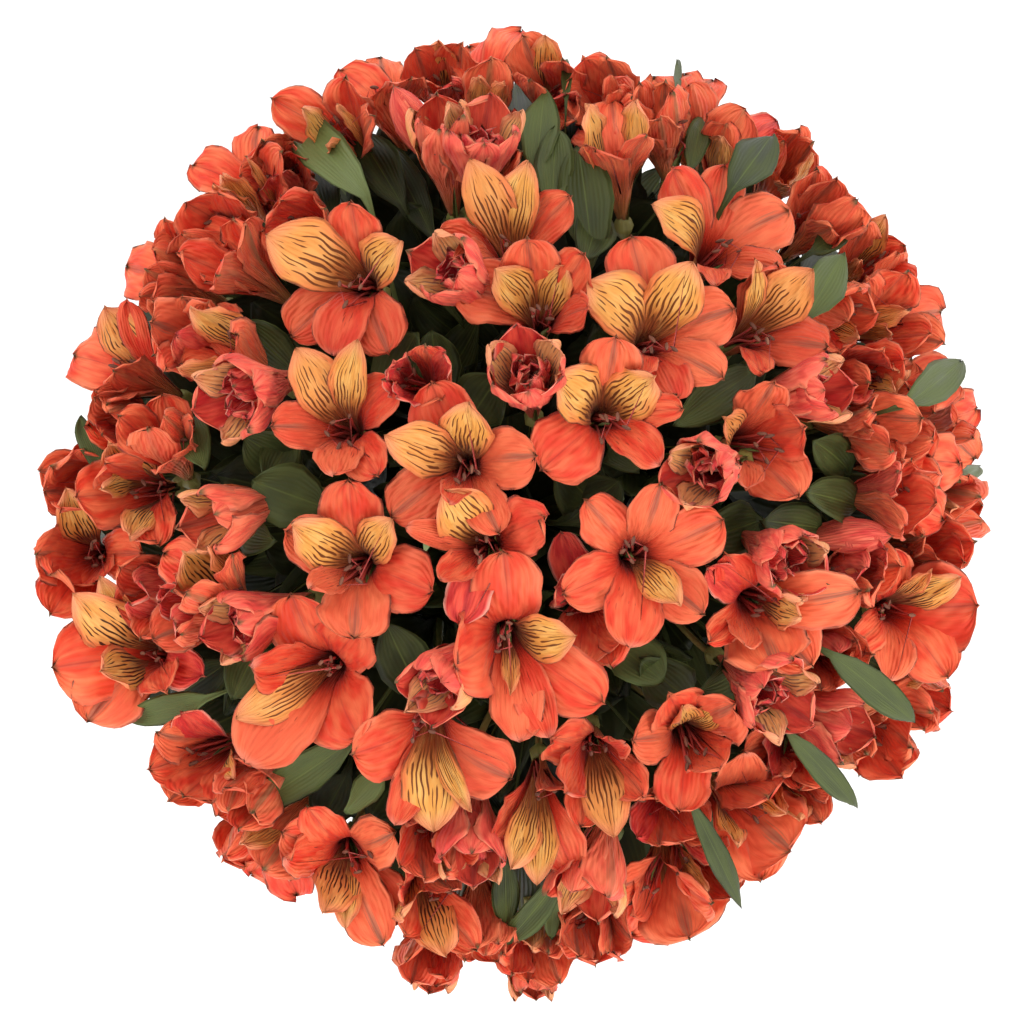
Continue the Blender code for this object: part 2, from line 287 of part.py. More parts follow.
def loft(name, rings, start_point=None, end_point=None):
    """A closed solid through rings of equal count, closed by a point or a flat end."""
    bm = bmesh.new()
    rows = [[bm.verts.new(p) for p in ring] for ring in rings]
    count = len(rows[0])
    for low, high in zip(rows, rows[1:]):
        for i in range(count):
            j = (i + 1) % count
            bm.faces.new((low[i], low[j], high[j], high[i]))
    for row, point in ((rows[0], start_point), (rows[-1], end_point)):
        if point is None:
            bm.faces.new(row)
            continue
        tip = bm.verts.new(point)
        for i in range(count):
            bm.faces.new((row[i], row[(i + 1) % count], tip))
    bmesh.ops.triangulate(bm, faces=bm.faces)
    return mesh_object(name, bm)


def floret(name, base, axis, length, mouth, opened):
    """A six-petalled funnel, open at its mouth. opened under 0.2 is a closed bud."""
    side, up = frame_about(axis, Vector((0, 0, 1)) if abs(axis.z) < 0.95 else Vector((0, 1, 0)))

    def ring(along, radius, notch=1.0, back=0.0, sides=12):
        points = []
        for i in range(sides):
            a = 2 * math.pi * i / sides + math.pi / 2
            r, t = (radius, along) if i % 2 == 0 else (radius * notch, along - back)
            points.append(base + axis * (t * length) + side * (r * math.cos(a)) + up * (r * math.sin(a)))
        return points

    if opened < 0.2:
        rings = [ring(0.0, 0.0020, sides=6), ring(0.30, mouth, sides=6), ring(0.68, mouth * 0.92, sides=6)]
        return loft(name, rings, None, base + axis * length)
    rings = [
        ring(0.0, 0.0024),
        ring(0.46, 0.0024 + mouth * 0.30),
        ring(1.0, mouth, 0.74, 0.10),
        ring(0.62, mouth * 0.24),
    ]
    return loft(name, rings, None, base + axis * (0.36 * length))


def leaf(name, points, width, up):
    """A thin leaf with a raised middle: four-sided sections along points, pointed at both ends."""
    rings = []
    count = len(points) - 1
    for i in range(1, count):
        t = i / count
        along = (points[i + 1] - points[i - 1]).normalized()
        side = along.cross(up).normalized()
        normal = side.cross(along).normalized()
        half = 0.5 * width * (math.sin(math.pi * min(1.0, 0.10 + t * 0.92)) ** 0.8)
        half = max(half, 0.0012)
        rings.append([points[i] + side * half, points[i] + normal * LEAF_THICK,
                      points[i] - side * half, points[i] - normal * LEAF_THICK * 0.4])
    return loft(name, rings, points[0], points[-1])


def tree(obj):
    return BVHTree.FromPolygons([v.co for v in obj.data.vertices],
                                [tuple(p.vertices) for p in obj.data.polygons])


def outer_shell(mesh):
    """Fills the pockets that crossing stalks and leaves close between them, by dropping their inner faces."""
    bm = bmesh.new()
    bm.from_mesh(mesh)
    bmesh.ops.remove_doubles(bm, verts=bm.verts, dist=1e-6)
    unseen = set(bm.verts)
    groups = []
    while unseen:
        stack = [unseen.pop()]
        group = []
        while stack:
            v = stack.pop()
            group.append(v)
            for e in v.link_edges:
                w = e.other_vert(v)
                if w in unseen:
                    unseen.remove(w)
                    stack.append(w)
        groups.append(group)
    groups.sort(key=lambda g: max(v.co.z for v in g) - min(v.co.z for v in g), reverse=True)
    for group in groups[1:]:
        print("a pocket of", len(group), "points is filled in", mesh.name)
        bmesh.ops.delete(bm, geom=group, context="VERTS")
    bm.to_mesh(mesh)
    bm.free()


def drop(obj):
    mesh = obj.data
    bpy.data.objects.remove(obj, do_unlink=True)
    bpy.data.meshes.remove(mesh)


def middle_of(petals):
    """The middle of the petals' tips in the top view, and their mean distance from it in metres."""
    x = sum(p[1] for p in petals) / len(petals)
    y = sum(p[2] for p in petals) / len(petals)
    return x, y, sum(math.hypot(p[1] - x, p[2] - y) for p in petals) / len(petals) * PX


def facing_row(name, throat, size, lift, petals):
    """A floret that shows its throat: its axis passes under the throat and leans to the petals' middle."""
    height, depth = 0.040 * size, 0.022 * size
    x, y, spread = middle_of([p for p in petals if p[0] != "r"])
    across = PX * 0.55 / (height - depth)
    measured = Vector(((x - throat[0]) * across, (throat[1] - y) * across, 1.0)).normalized()
    radial = (on_dome(*throat, MOUTH_R) - CENTRE).normalized()
    axis = (radial * 0.55 + measured * 0.65).normalized()
    mouth = on_dome(*throat, MOUTH_R + lift * 0.001)
    for _ in range(4):
        seen = to_pixel(mouth - axis * (height - depth))
        shown = to_pixel(mouth)
        mouth = on_dome(shown[0] + throat[0] - seen[0], shown[1] + throat[1] - seen[1], MOUTH_R + lift * 0.001)
    return name, mouth, mouth - axis * height, spread * 0.92, 1.0


def leaning_row(name, foot, petals, lift=0):
    """A floret seen from its side: its foot lies under its mouth by what the view leaves of its length."""
    x, y, spread = middle_of(petals)
    mouth = on_dome(x, y, MOUTH_R + lift * 0.001)
    depth = mouth.z - DOME_Z
    flat = math.hypot(x - foot[0], y - foot[1]) * PX * (VIEW_D - depth) / VIEW_D
    drop_by = math.sqrt(max(0.041**2 - flat**2, (0.18 * 0.041) ** 2))
    return name, mouth, at_height(foot[0], foot[1], depth - drop_by), max(spread, 0.012), 0.9


def side_row(name, px, py, lean, turn, spread, opened, roll, lift, double):
    mouth = on_dome(px, py, (DOME_R if lean >= 80 else MOUTH_R) + lift * 0.001)
    length = BUD_LEN if opened < 0.2 else FLORET_LEN
    return name, mouth, mouth - polar(lean, turn) * length, 0.5 * spread * PX * 0.62, opened


class Floret:
    """One floret or bud, with the stalk that carries it."""

    def __init__(self, row, heads):
        self.name, self.tip, base, self.mouth, self.opened = row
        direction = (self.tip - CENTRE).normalized()
        self.stem = max(range(len(heads)), key=lambda i: heads[i].dot(direction))
        self.hub = CENTRE + heads[self.stem] * HUB_R
        self.radial = direction
        self.axis = (self.tip - base).normalized()
        # a floret never leans further from its stem's own direction than its stalk can bend
        self.axis = (self.axis + self.radial * 0.35).normalized()
        self.length = BUD_LEN if self.opened < 0.2 else min(max((self.tip - base).length, 0.040), FLORET_LEN)
        if self.opened < 0.2:
            self.mouth = 0.0060
        self.least = 0.004 if self.opened < 0.2 else 0.0070
        self.sink = 0.0

    def shapes(self):
        tip = self.tip - self.radial * self.sink
        base = tip - self.axis * self.length
        aim = (base - self.hub).normalized()
        start = self.hub + aim * 0.0025
        reach = (base - start).length
        points = bezier(start, start + aim * reach * 0.35, base - self.axis * reach * 0.30,
                        base + self.axis * 0.004, 4)
        stalk = tube(self.name + "_stalk", points, STALK_RAD, 0)
        return stalk, floret(self.name, base, self.axis, self.length, self.mouth, self.opened)


def settle(florets):
    """Narrows, straightens and at last parts and lowers florets until none of them touch."""
    made = {}
    for turn in range(140):
        for f in florets:
            if f.name not in made:
                parts = f.shapes()
                made[f.name] = [tree(p) for p in parts]
                for p in parts:
                    drop(p)
        pushes = {}
        lower = set()
        for i, a in enumerate(florets):
            for b in florets[i + 1:]:
                if (a.tip - b.tip).length > 0.115:
                    continue
                # stalks of one stem may meet, at their hub
                first = 1 if a.stem == b.stem else 0
                if not any(s.overlap(t) for s in made[a.name][first:] for t in made[b.name][first:]):
                    continue
                apart = a.tip - b.tip
                pushes[a.name] = pushes.get(a.name, Vector()) + apart.normalized()
                pushes[b.name] = pushes.get(b.name, Vector()) - apart.normalized()
                lower.add(b.name if (a.tip - CENTRE).length - a.sink >= (b.tip - CENTRE).length - b.sink else a.name)
        if not pushes:
            print("nothing touches after", turn, "turns")
            return
        for f in florets:
            if f.name in pushes:
                if f.mouth > f.least:
                    f.mouth *= 0.93
                else:
                    away = pushes[f.name] - f.radial * pushes[f.name].dot(f.radial)
                    far = (f.tip - CENTRE).length
                    f.tip = CENTRE + (f.tip - CENTRE + away.normalized() * 0.0007).normalized() * far
                    f.radial = (f.tip - CENTRE).normalized()
                    if f.name in lower:
                        f.sink += 0.0005
                f.axis = (f.axis + f.radial * 0.05).normalized()
                del made[f.name]


def main():
    clear_scene()
    scene = bpy.context.scene
    shown = bpy.data.collections.new("alstroemeria_bouquet")
    scene.collection.children.link(shown)
    heads = hubs()
    rows = [facing_row(name, *data) for name, data in FACING.items()]
    rows += [leaning_row(name, *data) for name, data in LEANING.items()]
    rows += [side_row(*data) for data in SIDE]
    florets = [Floret(row, heads) for row in rows]
    settle(florets)

    # each stem's shapes, stalk first
    shapes = [[] for _ in heads]
    for i, head in enumerate(heads):
        hub = CENTRE + head * HUB_R
        low = stem_point(hub, -WAIST_Z - 0.01)
        shapes[i].append(tube(f"stem_{i}", [low, hub - (hub - low).normalized() * 0.002], STEM_RAD, 1))
        bm = bmesh.new()
        bmesh.ops.create_icosphere(bm, subdivisions=1, radius=HUB_KNOT)
        bmesh.ops.translate(bm, verts=bm.verts, vec=hub)
        shapes[i].append(mesh_object(f"joint_{i}", bm))
    for f in florets:
        shapes[f.stem] += f.shapes()
    trees = [[tree(s) for s in group] for group in shapes]

    def is_free(shape, stem):
        mine = tree(shape)
        return not any(mine.overlap(t) for j, group in enumerate(trees) if j != stem for t in group)

    def add(shape, stem):
        if not is_free(shape, stem):
            drop(shape)
            return False
        shapes[stem].append(shape)
        trees[stem].append(tree(shape))
        return True

    def leaf_from_hub(name, stem, tip, width):
        hub = CENTRE + heads[stem] * HUB_R
        out = (tip - CENTRE).normalized()
        reach = (tip - hub).length
        aim = (tip - hub).normalized()
        points = bezier(hub + aim * 0.0030, hub + aim * reach * 0.35, tip - out * reach * 0.35, tip, 5)
        return add(leaf(name, points, width, out.cross(heads[stem].cross(out) + Vector((0.01, 0.02, 0.03)))), stem)

    # leaves that show in the top view
    for k, (px, py, _, _, depth, _, wide, *_) in enumerate(LEAVES):
        tip = on_dome(px, py, MOUTH_R * depth)
        stem = max(range(len(heads)), key=lambda i: heads[i].dot((tip - CENTRE).normalized()))
        for shrink in (1.0, 0.7, 0.45):
            if leaf_from_hub(f"leaf_{k}", stem, tip, max(0.0007 * wide * shrink, 0.005)):
                break
    # a whorl below each head, inside the dome
    for i, head in enumerate(heads):
        side, up = frame_about(head, Vector((0, 1, 0.2)))
        kept = 0
        for j in range(18):
            if kept == 2:
                break
            a = math.radians(137.5 * j + 40 * i)
            spread = 0.22 if j < 9 else 0.14
            out = (head + side * spread * math.cos(a) + up * spread * math.sin(a)).normalized()
            tip = CENTRE + out * (MOUTH_R * (0.80 if j < 9 else 0.70))
            kept += leaf_from_hub(f"whorl_{i}_{j}", i, tip, LEAF_WIDTH * 0.8)
    # leaves on the outer stems, below the dome
    for i in range(1 + INNER_RING, len(heads)):
        hub = CENTRE + heads[i] * HUB_R
        at = stem_point(hub, 0.055)
        out = Vector((at.x, at.y, 0)).normalized()
        reach = 0.085
        tip = at + out * reach + Vector((0, 0, 0.030))
        points = bezier(at - out * 0.001, at + out * reach * 0.4 + Vector((0, 0, 0.030)),
                        tip - out * reach * 0.3 + Vector((0, 0, 0.012)), tip, 5)
        add(leaf(f"stem_leaf_{i}", points, LEAF_WIDTH, Vector((0, 0, 1))), i)

    # the binding: turns of twine laid on one another, as one solid ring round the waist
    rings = []
    reach = 0.0
    for i, head in enumerate(heads):
        hub = CENTRE + head * HUB_R
        for h in (-0.006, 0.006):
            at = stem_point(hub, h)
            reach = max(reach, math.hypot(at.x, at.y))
    inner = reach + STEM_RAD * 1.12 + GAP
    profile = [(inner, -TWINE_TURNS * TWINE_RAD)]
    for k in range(TWINE_TURNS):
        mid = (2 * k + 1 - TWINE_TURNS) * TWINE_RAD
        profile += [(inner + 1.4 * TWINE_RAD, mid - 0.75 * TWINE_RAD), (inner + 2 * TWINE_RAD, mid),
                    (inner + 1.4 * TWINE_RAD, mid + 0.75 * TWINE_RAD)]
    profile.append((inner, TWINE_TURNS * TWINE_RAD))
    bm = bmesh.new()
    steps = 30
    rows = []
    for s in range(steps):
        a = 2 * math.pi * s / steps
        rows.append([bm.verts.new((r * math.cos(a), r * math.sin(a), WAIST_Z + z)) for r, z in profile])
    for s in range(steps):
        one, two = rows[s], rows[(s + 1) % steps]
        for k in range(len(profile)):
            j = (k + 1) % len(profile)
            bm.faces.new((one[k], two[k], two[j], one[j]))
    bmesh.ops.triangulate(bm, faces=bm.faces)
    binding = mesh_object("binding_twine", bm)

    # each stem's shapes become one solid, cut level at the feet
    nodes = []
    for i, group in enumerate(shapes):
        for shape in group:
            scene.collection.objects.link(shape)
        whole = group[0]
        for shape in group[1:]:
            join = whole.modifiers.new(shape.name, "BOOLEAN")
            join.operation = "UNION"
            join.solver = "EXACT"
            join.object = shape
        # the knife is a slab under the surface that the feet stand on
        bm = bmesh.new()
        bmesh.ops.create_cube(bm, size=1.0)
        foot = stem_point(CENTRE + heads[i] * HUB_R, -WAIST_Z)
        bmesh.ops.scale(bm, verts=bm.verts, vec=(0.06, 0.06, 0.04))
        bmesh.ops.translate(bm, verts=bm.verts, vec=(foot.x, foot.y, -0.02))
        knife = mesh_object(f"knife_{i}", bm)
        scene.collection.objects.link(knife)
        cut = whole.modifiers.new("level_cut", "BOOLEAN")
        cut.operation = "DIFFERENCE"
        cut.solver = "EXACT"
        cut.object = knife
        graph = bpy.context.evaluated_depsgraph_get()
        mesh = bpy.data.meshes.new_from_object(whole.evaluated_get(graph))
        for shape in group + [knife]:
            drop(shape)
        mesh.name = f"alstroemeria_stem_{i + 1:02d}"
        outer_shell(mesh)
        nodes.append(bpy.data.objects.new(mesh.name, mesh))
    nodes.append(binding)

    # the box's middle goes on the origin
    lows = [min(v.co[k] for n in nodes for v in n.data.vertices) for k in range(2)]
    highs = [max(v.co[k] for n in nodes for v in n.data.vertices) for k in range(2)]
    shift = Matrix.Translation((-(lows[0] + highs[0]) / 2, -(lows[1] + highs[1]) / 2, 0))
    print("shift to the middle, mm:", [round(1000 * shift.translation[k], 3) for k in range(2)])
    for n in nodes:
        n.data.transform(shift)
        shown.objects.link(n)

    leafy = bpy.data.materials.new("alstroemeria_green")
    leafy.use_nodes = True
    principled = leafy.node_tree.nodes["Principled BSDF"]
    principled.inputs["Base Color"].default_value = (0.10, 0.12, 0.035, 1)
    principled.inputs["Roughness"].default_value = 0.5
    twine = bpy.data.materials.new("twine")
    twine.use_nodes = True
    principled = twine.node_tree.nodes["Principled BSDF"]
    principled.inputs["Base Color"].default_value = (0.36, 0.24, 0.12, 1)
    principled.inputs["Roughness"].default_value = 0.9
    petals = []
    for i in range(len(heads)):
        petal = bpy.data.materials.new(f"petal_{i + 1:02d}")
        petal.use_nodes = True
        principled = petal.node_tree.nodes["Principled BSDF"]
        principled.inputs["Base Color"].default_value = (0.80, 0.14 + 0.004 * i, 0.06, 1)
        principled.inputs["Roughness"].default_value = 0.55
        petals.append(petal)
    for i, n in enumerate(nodes):
        if n is binding:
            n.data.materials.clear()
            n.data.materials.append(twine)
            continue
        n.data.materials.clear()
        n.data.materials.append(petals[i])
        n.data.materials.append(leafy)
        for face in n.data.polygons:
            face.material_index = 0 if (face.center - CENTRE - shift.translation).length > 0.112 else 1
    for f in florets:
        print(f.name, "stem", f.stem + 1, "mouth", round(2000 * f.mouth, 1), "sink", round(1000 * f.sink, 1))


main()
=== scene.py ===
"""The looks of a hand-tied bouquet of alstroemeria: florets, buds, leaves, stems and the twine that binds them."""
import math

import bpy
import numpy as np
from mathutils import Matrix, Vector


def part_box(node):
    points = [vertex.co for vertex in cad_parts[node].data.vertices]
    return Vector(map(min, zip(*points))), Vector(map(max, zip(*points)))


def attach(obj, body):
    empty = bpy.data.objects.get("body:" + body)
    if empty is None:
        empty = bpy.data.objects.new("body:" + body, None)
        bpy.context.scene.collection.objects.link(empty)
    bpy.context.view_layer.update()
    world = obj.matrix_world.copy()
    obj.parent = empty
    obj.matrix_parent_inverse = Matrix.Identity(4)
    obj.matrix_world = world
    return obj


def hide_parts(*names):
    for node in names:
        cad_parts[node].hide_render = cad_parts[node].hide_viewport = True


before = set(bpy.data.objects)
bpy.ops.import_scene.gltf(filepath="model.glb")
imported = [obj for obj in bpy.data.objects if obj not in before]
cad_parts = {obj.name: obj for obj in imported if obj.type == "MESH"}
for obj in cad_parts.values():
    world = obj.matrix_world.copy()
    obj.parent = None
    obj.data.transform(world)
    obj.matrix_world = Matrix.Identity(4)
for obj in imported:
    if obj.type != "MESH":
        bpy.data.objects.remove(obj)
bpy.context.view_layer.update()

# ---------------------------------------------------------------- the frame's own numbers, as in the CAD
DOME_R, MOUTH_R, DOME_Z, WAIST_Z, HUB_R = 0.170, 0.165, 0.235, 0.155, 0.070
TWIST = 46.0
INNER_RING, INNER_TILT, INNER_TURN = 7, 36.0, 30.0
OUTER_RING, OUTER_TILT, OUTER_TURN = 12, 74.0, 15.0
SHIFT = np.array((-0.000470, -0.000434, 0.0))
VIEW_D = 2.2
PX = DOME_R / 480.0
CENTRE = np.array((0.0, 0.0, DOME_Z))


def unit(v):
    v = np.asarray(v, float)
    return v / max(np.linalg.norm(v), 1e-12)


def polar(tilt, turn):
    t, f = math.radians(tilt), math.radians(turn)
    return np.array((math.sin(t) * math.cos(f), math.sin(t) * math.sin(f), math.cos(t)))


def at_height(px, py, z):
    """The point at height z above the dome's centre that the top view shows at px, py."""
    k = (VIEW_D - z) / VIEW_D * PX
    return np.array(((px - 508.0) * k, (512.0 - py) * k, DOME_Z + z))


def to_pixel(p):
    k = VIEW_D / (VIEW_D - (p[2] - DOME_Z)) / PX
    return np.array((508.0 + p[0] * k, 512.0 - p[1] * k))


def on_dome(px, py, radius):
    z = 0.0
    for _ in range(8):
        p = at_height(px, py, z)
        z = math.sqrt(max(radius * radius - p[0] ** 2 - p[1] ** 2, 0.0))
    return at_height(px, py, z)


HEADS = [np.array((0.0, 0.0, 1.0))]
HEADS += [polar(INNER_TILT, INNER_TURN + 360.0 / INNER_RING * i) for i in range(INNER_RING)]
HEADS += [polar(OUTER_TILT, OUTER_TURN + 360.0 / OUTER_RING * i) for i in range(OUTER_RING)]


def stem_point(hub, h):
    top = hub[2] - WAIST_Z
    radius = math.hypot(hub[0], hub[1]) / math.sqrt(1 + (TWIST * top) ** 2)
    turn = math.atan2(hub[1], hub[0]) - math.atan(TWIST * top)
    x, y = radius * math.cos(turn), radius * math.sin(turn)
    return np.array((x - y * TWIST * h, y + x * TWIST * h, WAIST_Z + h))


def bezier(a, b, c, d, count):
    t = np.linspace(0, 1, count + 1)[:, None]
    s = 1 - t
    return a * s**3 + b * (3 * s * s * t) + c * (3 * s * t * t) + d * t**3


# ---------------------------------------------------------------- mesh gathering
class Mesh:
    """Gathers closed shapes into one object, with a UV and two numbers at each point: seed and shade. Shade sets a tint
    on petals and stalks, and carries painted light and painted shade on leaves and petals.
    """

    def __init__(self):
        self.v, self.f, self.m, self.uv, self.seed, self.shade = [], [], [], [], [], []
        self.count = 0

    def add(self, points, faces, slot, uv, seed, shade=0.0):
        points = np.asarray(points, float)
        n = len(points)
        self.v.append(points)
        self.uv.append(np.asarray(uv, float))
        self.seed.append(np.full(n, seed))
        self.shade.append(np.full(n, shade) if np.isscalar(shade) else np.asarray(shade, float))
        faces = np.asarray(faces, int)
        self.f.append(faces + self.count)
        self.m.append(np.full(len(faces), slot, int) if np.isscalar(slot) else np.asarray(slot, int))
        self.count += n

    def build(self, name, materials):
        v = np.concatenate(self.v) + SHIFT
        f = np.concatenate(self.f)
        m = np.concatenate(self.m)
        uv = np.concatenate(self.uv)
        seed = np.concatenate(self.seed)
        shade = np.concatenate(self.shade)
        mesh = bpy.data.meshes.new(name)
        tri = f[:, 3] < 0
        sizes = np.where(tri, 3, 4)
        loops = np.concatenate([row[:3] if t else row for row, t in zip(f, tri)])
        starts = np.concatenate([[0], np.cumsum(sizes)[:-1]])
        mesh.vertices.add(len(v))
        mesh.vertices.foreach_set("co", v.astype(np.float32).ravel())
        mesh.loops.add(len(loops))
        mesh.loops.foreach_set("vertex_index", loops.astype(np.int32))
        mesh.polygons.add(len(f))
        mesh.polygons.foreach_set("loop_start", starts.astype(np.int32))
        used = sorted(set(m.tolist()))
        remap = {s: i for i, s in enumerate(used)}
        mesh.polygons.foreach_set("material_index", np.array([remap[s] for s in m], np.int32))
        mesh.update(calc_edges=True)
        layer = mesh.uv_layers.new(name="UVMap")
        layer.data.foreach_set("uv", uv[loops].astype(np.float32).ravel())
        for label, values in (("seed", seed), ("shade", shade)):
            attribute = mesh.attributes.new(label, "FLOAT", "POINT")
            attribute.data.foreach_set("value", values.astype(np.float32))
        mesh.polygons.foreach_set("use_smooth", np.ones(len(f), bool))
        mesh.validate()
        for s in used:
            mesh.materials.append(materials[s])
        obj = bpy.data.objects.new(name, mesh)
        bpy.context.scene.collection.objects.link(obj)
        return obj


def grid_faces(rows, cols, offset=0, flip=False):
    i, j = np.meshgrid(np.arange(rows - 1), np.arange(cols - 1), indexing="ij")
    a = i * cols + j + offset
    quads = np.stack([a, a + 1, a + cols + 1, a + cols], -1).reshape(-1, 4)
    return quads[:, ::-1] if flip else quads


def sheet_solid(points, thick, normal_sign=1.0):
    """Closes a grid of points (rows, cols, 3) into a thin solid with a knife edge. Returns the points, the faces and
    whether a face is on the back."""
    rows, cols, _ = points.shape
    du = np.gradient(points, axis=0)
    dv = np.gradient(points, axis=1)
    normal = np.cross(dv, du)
    normal /= np.maximum(np.linalg.norm(normal, axis=2, keepdims=True), 1e-12)
    back = points + normal * np.asarray(thick)[..., None] * normal_sign
    index = np.arange(rows * cols).reshape(rows, cols)
    inner = np.full((rows, cols), -1)
    inner[1:-1, 1:-1] = np.arange((rows - 2) * (cols - 2)).reshape(rows - 2, cols - 2) + rows * cols
    other = np.where(inner >= 0, inner, index)
    everything = np.concatenate([points.reshape(-1, 3), back[1:-1, 1:-1].reshape(-1, 3)])
    front = np.stack([index[:-1, :-1], index[1:, :-1], index[1:, 1:], index[:-1, 1:]], -1).reshape(-1, 4)
    behind = np.stack([other[:-1, :-1], other[:-1, 1:], other[1:, 1:], other[1:, :-1]], -1).reshape(-1, 4)
    return everything, np.concatenate([front, behind]), np.concatenate([np.zeros(len(front), bool), np.ones(len(behind), bool)])


def sheet_values(values):
    return np.concatenate([values.reshape(-1, *values.shape[2:]), values[1:-1, 1:-1].reshape(-1, *values.shape[2:])])


def smooth(e0, e1, x):
    t = np.clip((x - e0) / (e1 - e0), 0, 1)
    return t * t * (3 - 2 * t)


def tube(mesh, path, radius, sides, slot, seed, shade=0.0, v_scale=1.0, tip=False):
    """A round solid along path, with one radius for each point. Its ends close in a point."""
    path = np.asarray(path, float)
    radius = np.broadcast_to(np.asarray(radius, float), (len(path),))
    tangent = np.gradient(path, axis=0)
    tangent /= np.linalg.norm(tangent, axis=1, keepdims=True)
    ref = np.array((0.31, 0.93, 0.2)) if abs(tangent[0] @ unit((0.31, 0.93, 0.2))) < 0.9 else np.array((1.0, 0, 0))
    side = unit(np.cross(tangent[0], ref))
    rings, uvs = [], []
    length = np.concatenate([[0], np.cumsum(np.linalg.norm(np.diff(path, axis=0), axis=1))])
    a = np.linspace(0, 2 * math.pi, sides, endpoint=False)
    for p, t, r, l in zip(path, tangent, radius, length):
        side = unit(side - t * (side @ t))
        up = np.cross(t, side)
        rings.append(p + r * (np.cos(a)[:, None] * side + np.sin(a)[:, None] * up))
        uvs.append(np.stack([a / (2 * math.pi), np.full(sides, l * v_scale)], 1))
    n = len(path)
    points = np.concatenate([np.concatenate(rings), [path[0], path[-1]]])
    uv = np.concatenate([np.concatenate(uvs), [[0.5, 0.0], [0.5, length[-1] * v_scale]]])
    i, j = np.meshgrid(np.arange(n - 1), np.arange(sides), indexing="ij")
    k = (j + 1) % sides
    quads = np.stack([i * sides + j, i * sides + k, (i + 1) * sides + k, (i + 1) * sides + j], -1).reshape(-1, 4)
    j = np.arange(sides)
    k = (j + 1) % sides
    low = np.stack([k, j, np.full(sides, n * sides), np.full(sides, -1)], 1)
    high = np.stack([(n - 1) * sides + j, (n - 1) * sides + k, np.full(sides, n * sides + 1), np.full(sides, -1)], 1)
    if not np.isscalar(shade):
        shade = np.concatenate([np.repeat(shade, sides), [shade[0], shade[-1]]])
    mesh.add(points, np.concatenate([quads, low, high]), slot, uv, seed, shade)


# ---------------------------------------------------------------- petals
FRONT, BACK, YELLOW, LOWER, STAMEN, ANTHER, STALK, LEAF, STEM, CUT, TWINE, GOLDBACK = range(12)

SHAPES = {
    # along the petal, half its width against the widest
    "o": ((0.0, 0.13), (0.15, 0.19), (0.30, 0.29), (0.42, 0.46), (0.54, 0.73), (0.66, 0.94), (0.76, 1.0)),
    "s": ((0.0, 0.15), (0.15, 0.27), (0.30, 0.42), (0.42, 0.58), (0.54, 0.78), (0.66, 0.94), (0.76, 1.0)),
    "y": ((0.0, 0.15), (0.15, 0.22), (0.30, 0.33), (0.42, 0.52), (0.54, 0.80), (0.63, 0.96), (0.68, 1.0)),
    "c": ((0.0, 0.18), (0.15, 0.27), (0.30, 0.42), (0.42, 0.62), (0.54, 0.84), (0.66, 0.98), (0.73, 1.0)),
}
ROUND_FROM = {"o": 0.76, "s": 0.74, "y": 0.68, "c": 0.73}
POINTED = {"o": 0.46, "s": 0.52, "y": 0.80, "c": 0.54}


def half_width(kind, s):
    knots = SHAPES[kind]
    base = np.interp(s, [k[0] for k in knots], [k[1] for k in knots])
    start = ROUND_FROM[kind]
    t = np.clip((s - start) / (1 - start), 0, 1)
    cap = np.sqrt(np.maximum(1 - t**2.3, 0)) ** (POINTED[kind] / 0.5)
    return np.where(s > start, cap, base)


def centreline(length, a0, a1, s0, s1, curl, count=121):
    """(radius, height) along a petal whose angle from the floret's axis grows from a0 to a1."""
    s = np.linspace(0, 1, count)
    angle = np.radians(a0 + (a1 - a0) * smooth(s0, s1, s) + curl * smooth(0.78, 1.0, s))
    ds = length / (count - 1)
    r = np.concatenate([[0], np.cumsum(np.sin((angle[1:] + angle[:-1]) / 2) * ds)]) + 0.0012
    z = np.concatenate([[0], np.cumsum(np.cos((angle[1:] + angle[:-1]) / 2) * ds)])
    return s, r, z, angle


def solve_flare(length, a0, s0, s1, curl, reach):
    low, high = -40.0, 118.0
    for _ in range(22):
        mid = (low + high) / 2
        _, r, _, _ = centreline(length, a0, mid, s0, s1, curl, 61)
        if r[-1] < reach:
            low = mid
        else:
            high = mid
    return (low + high) / 2


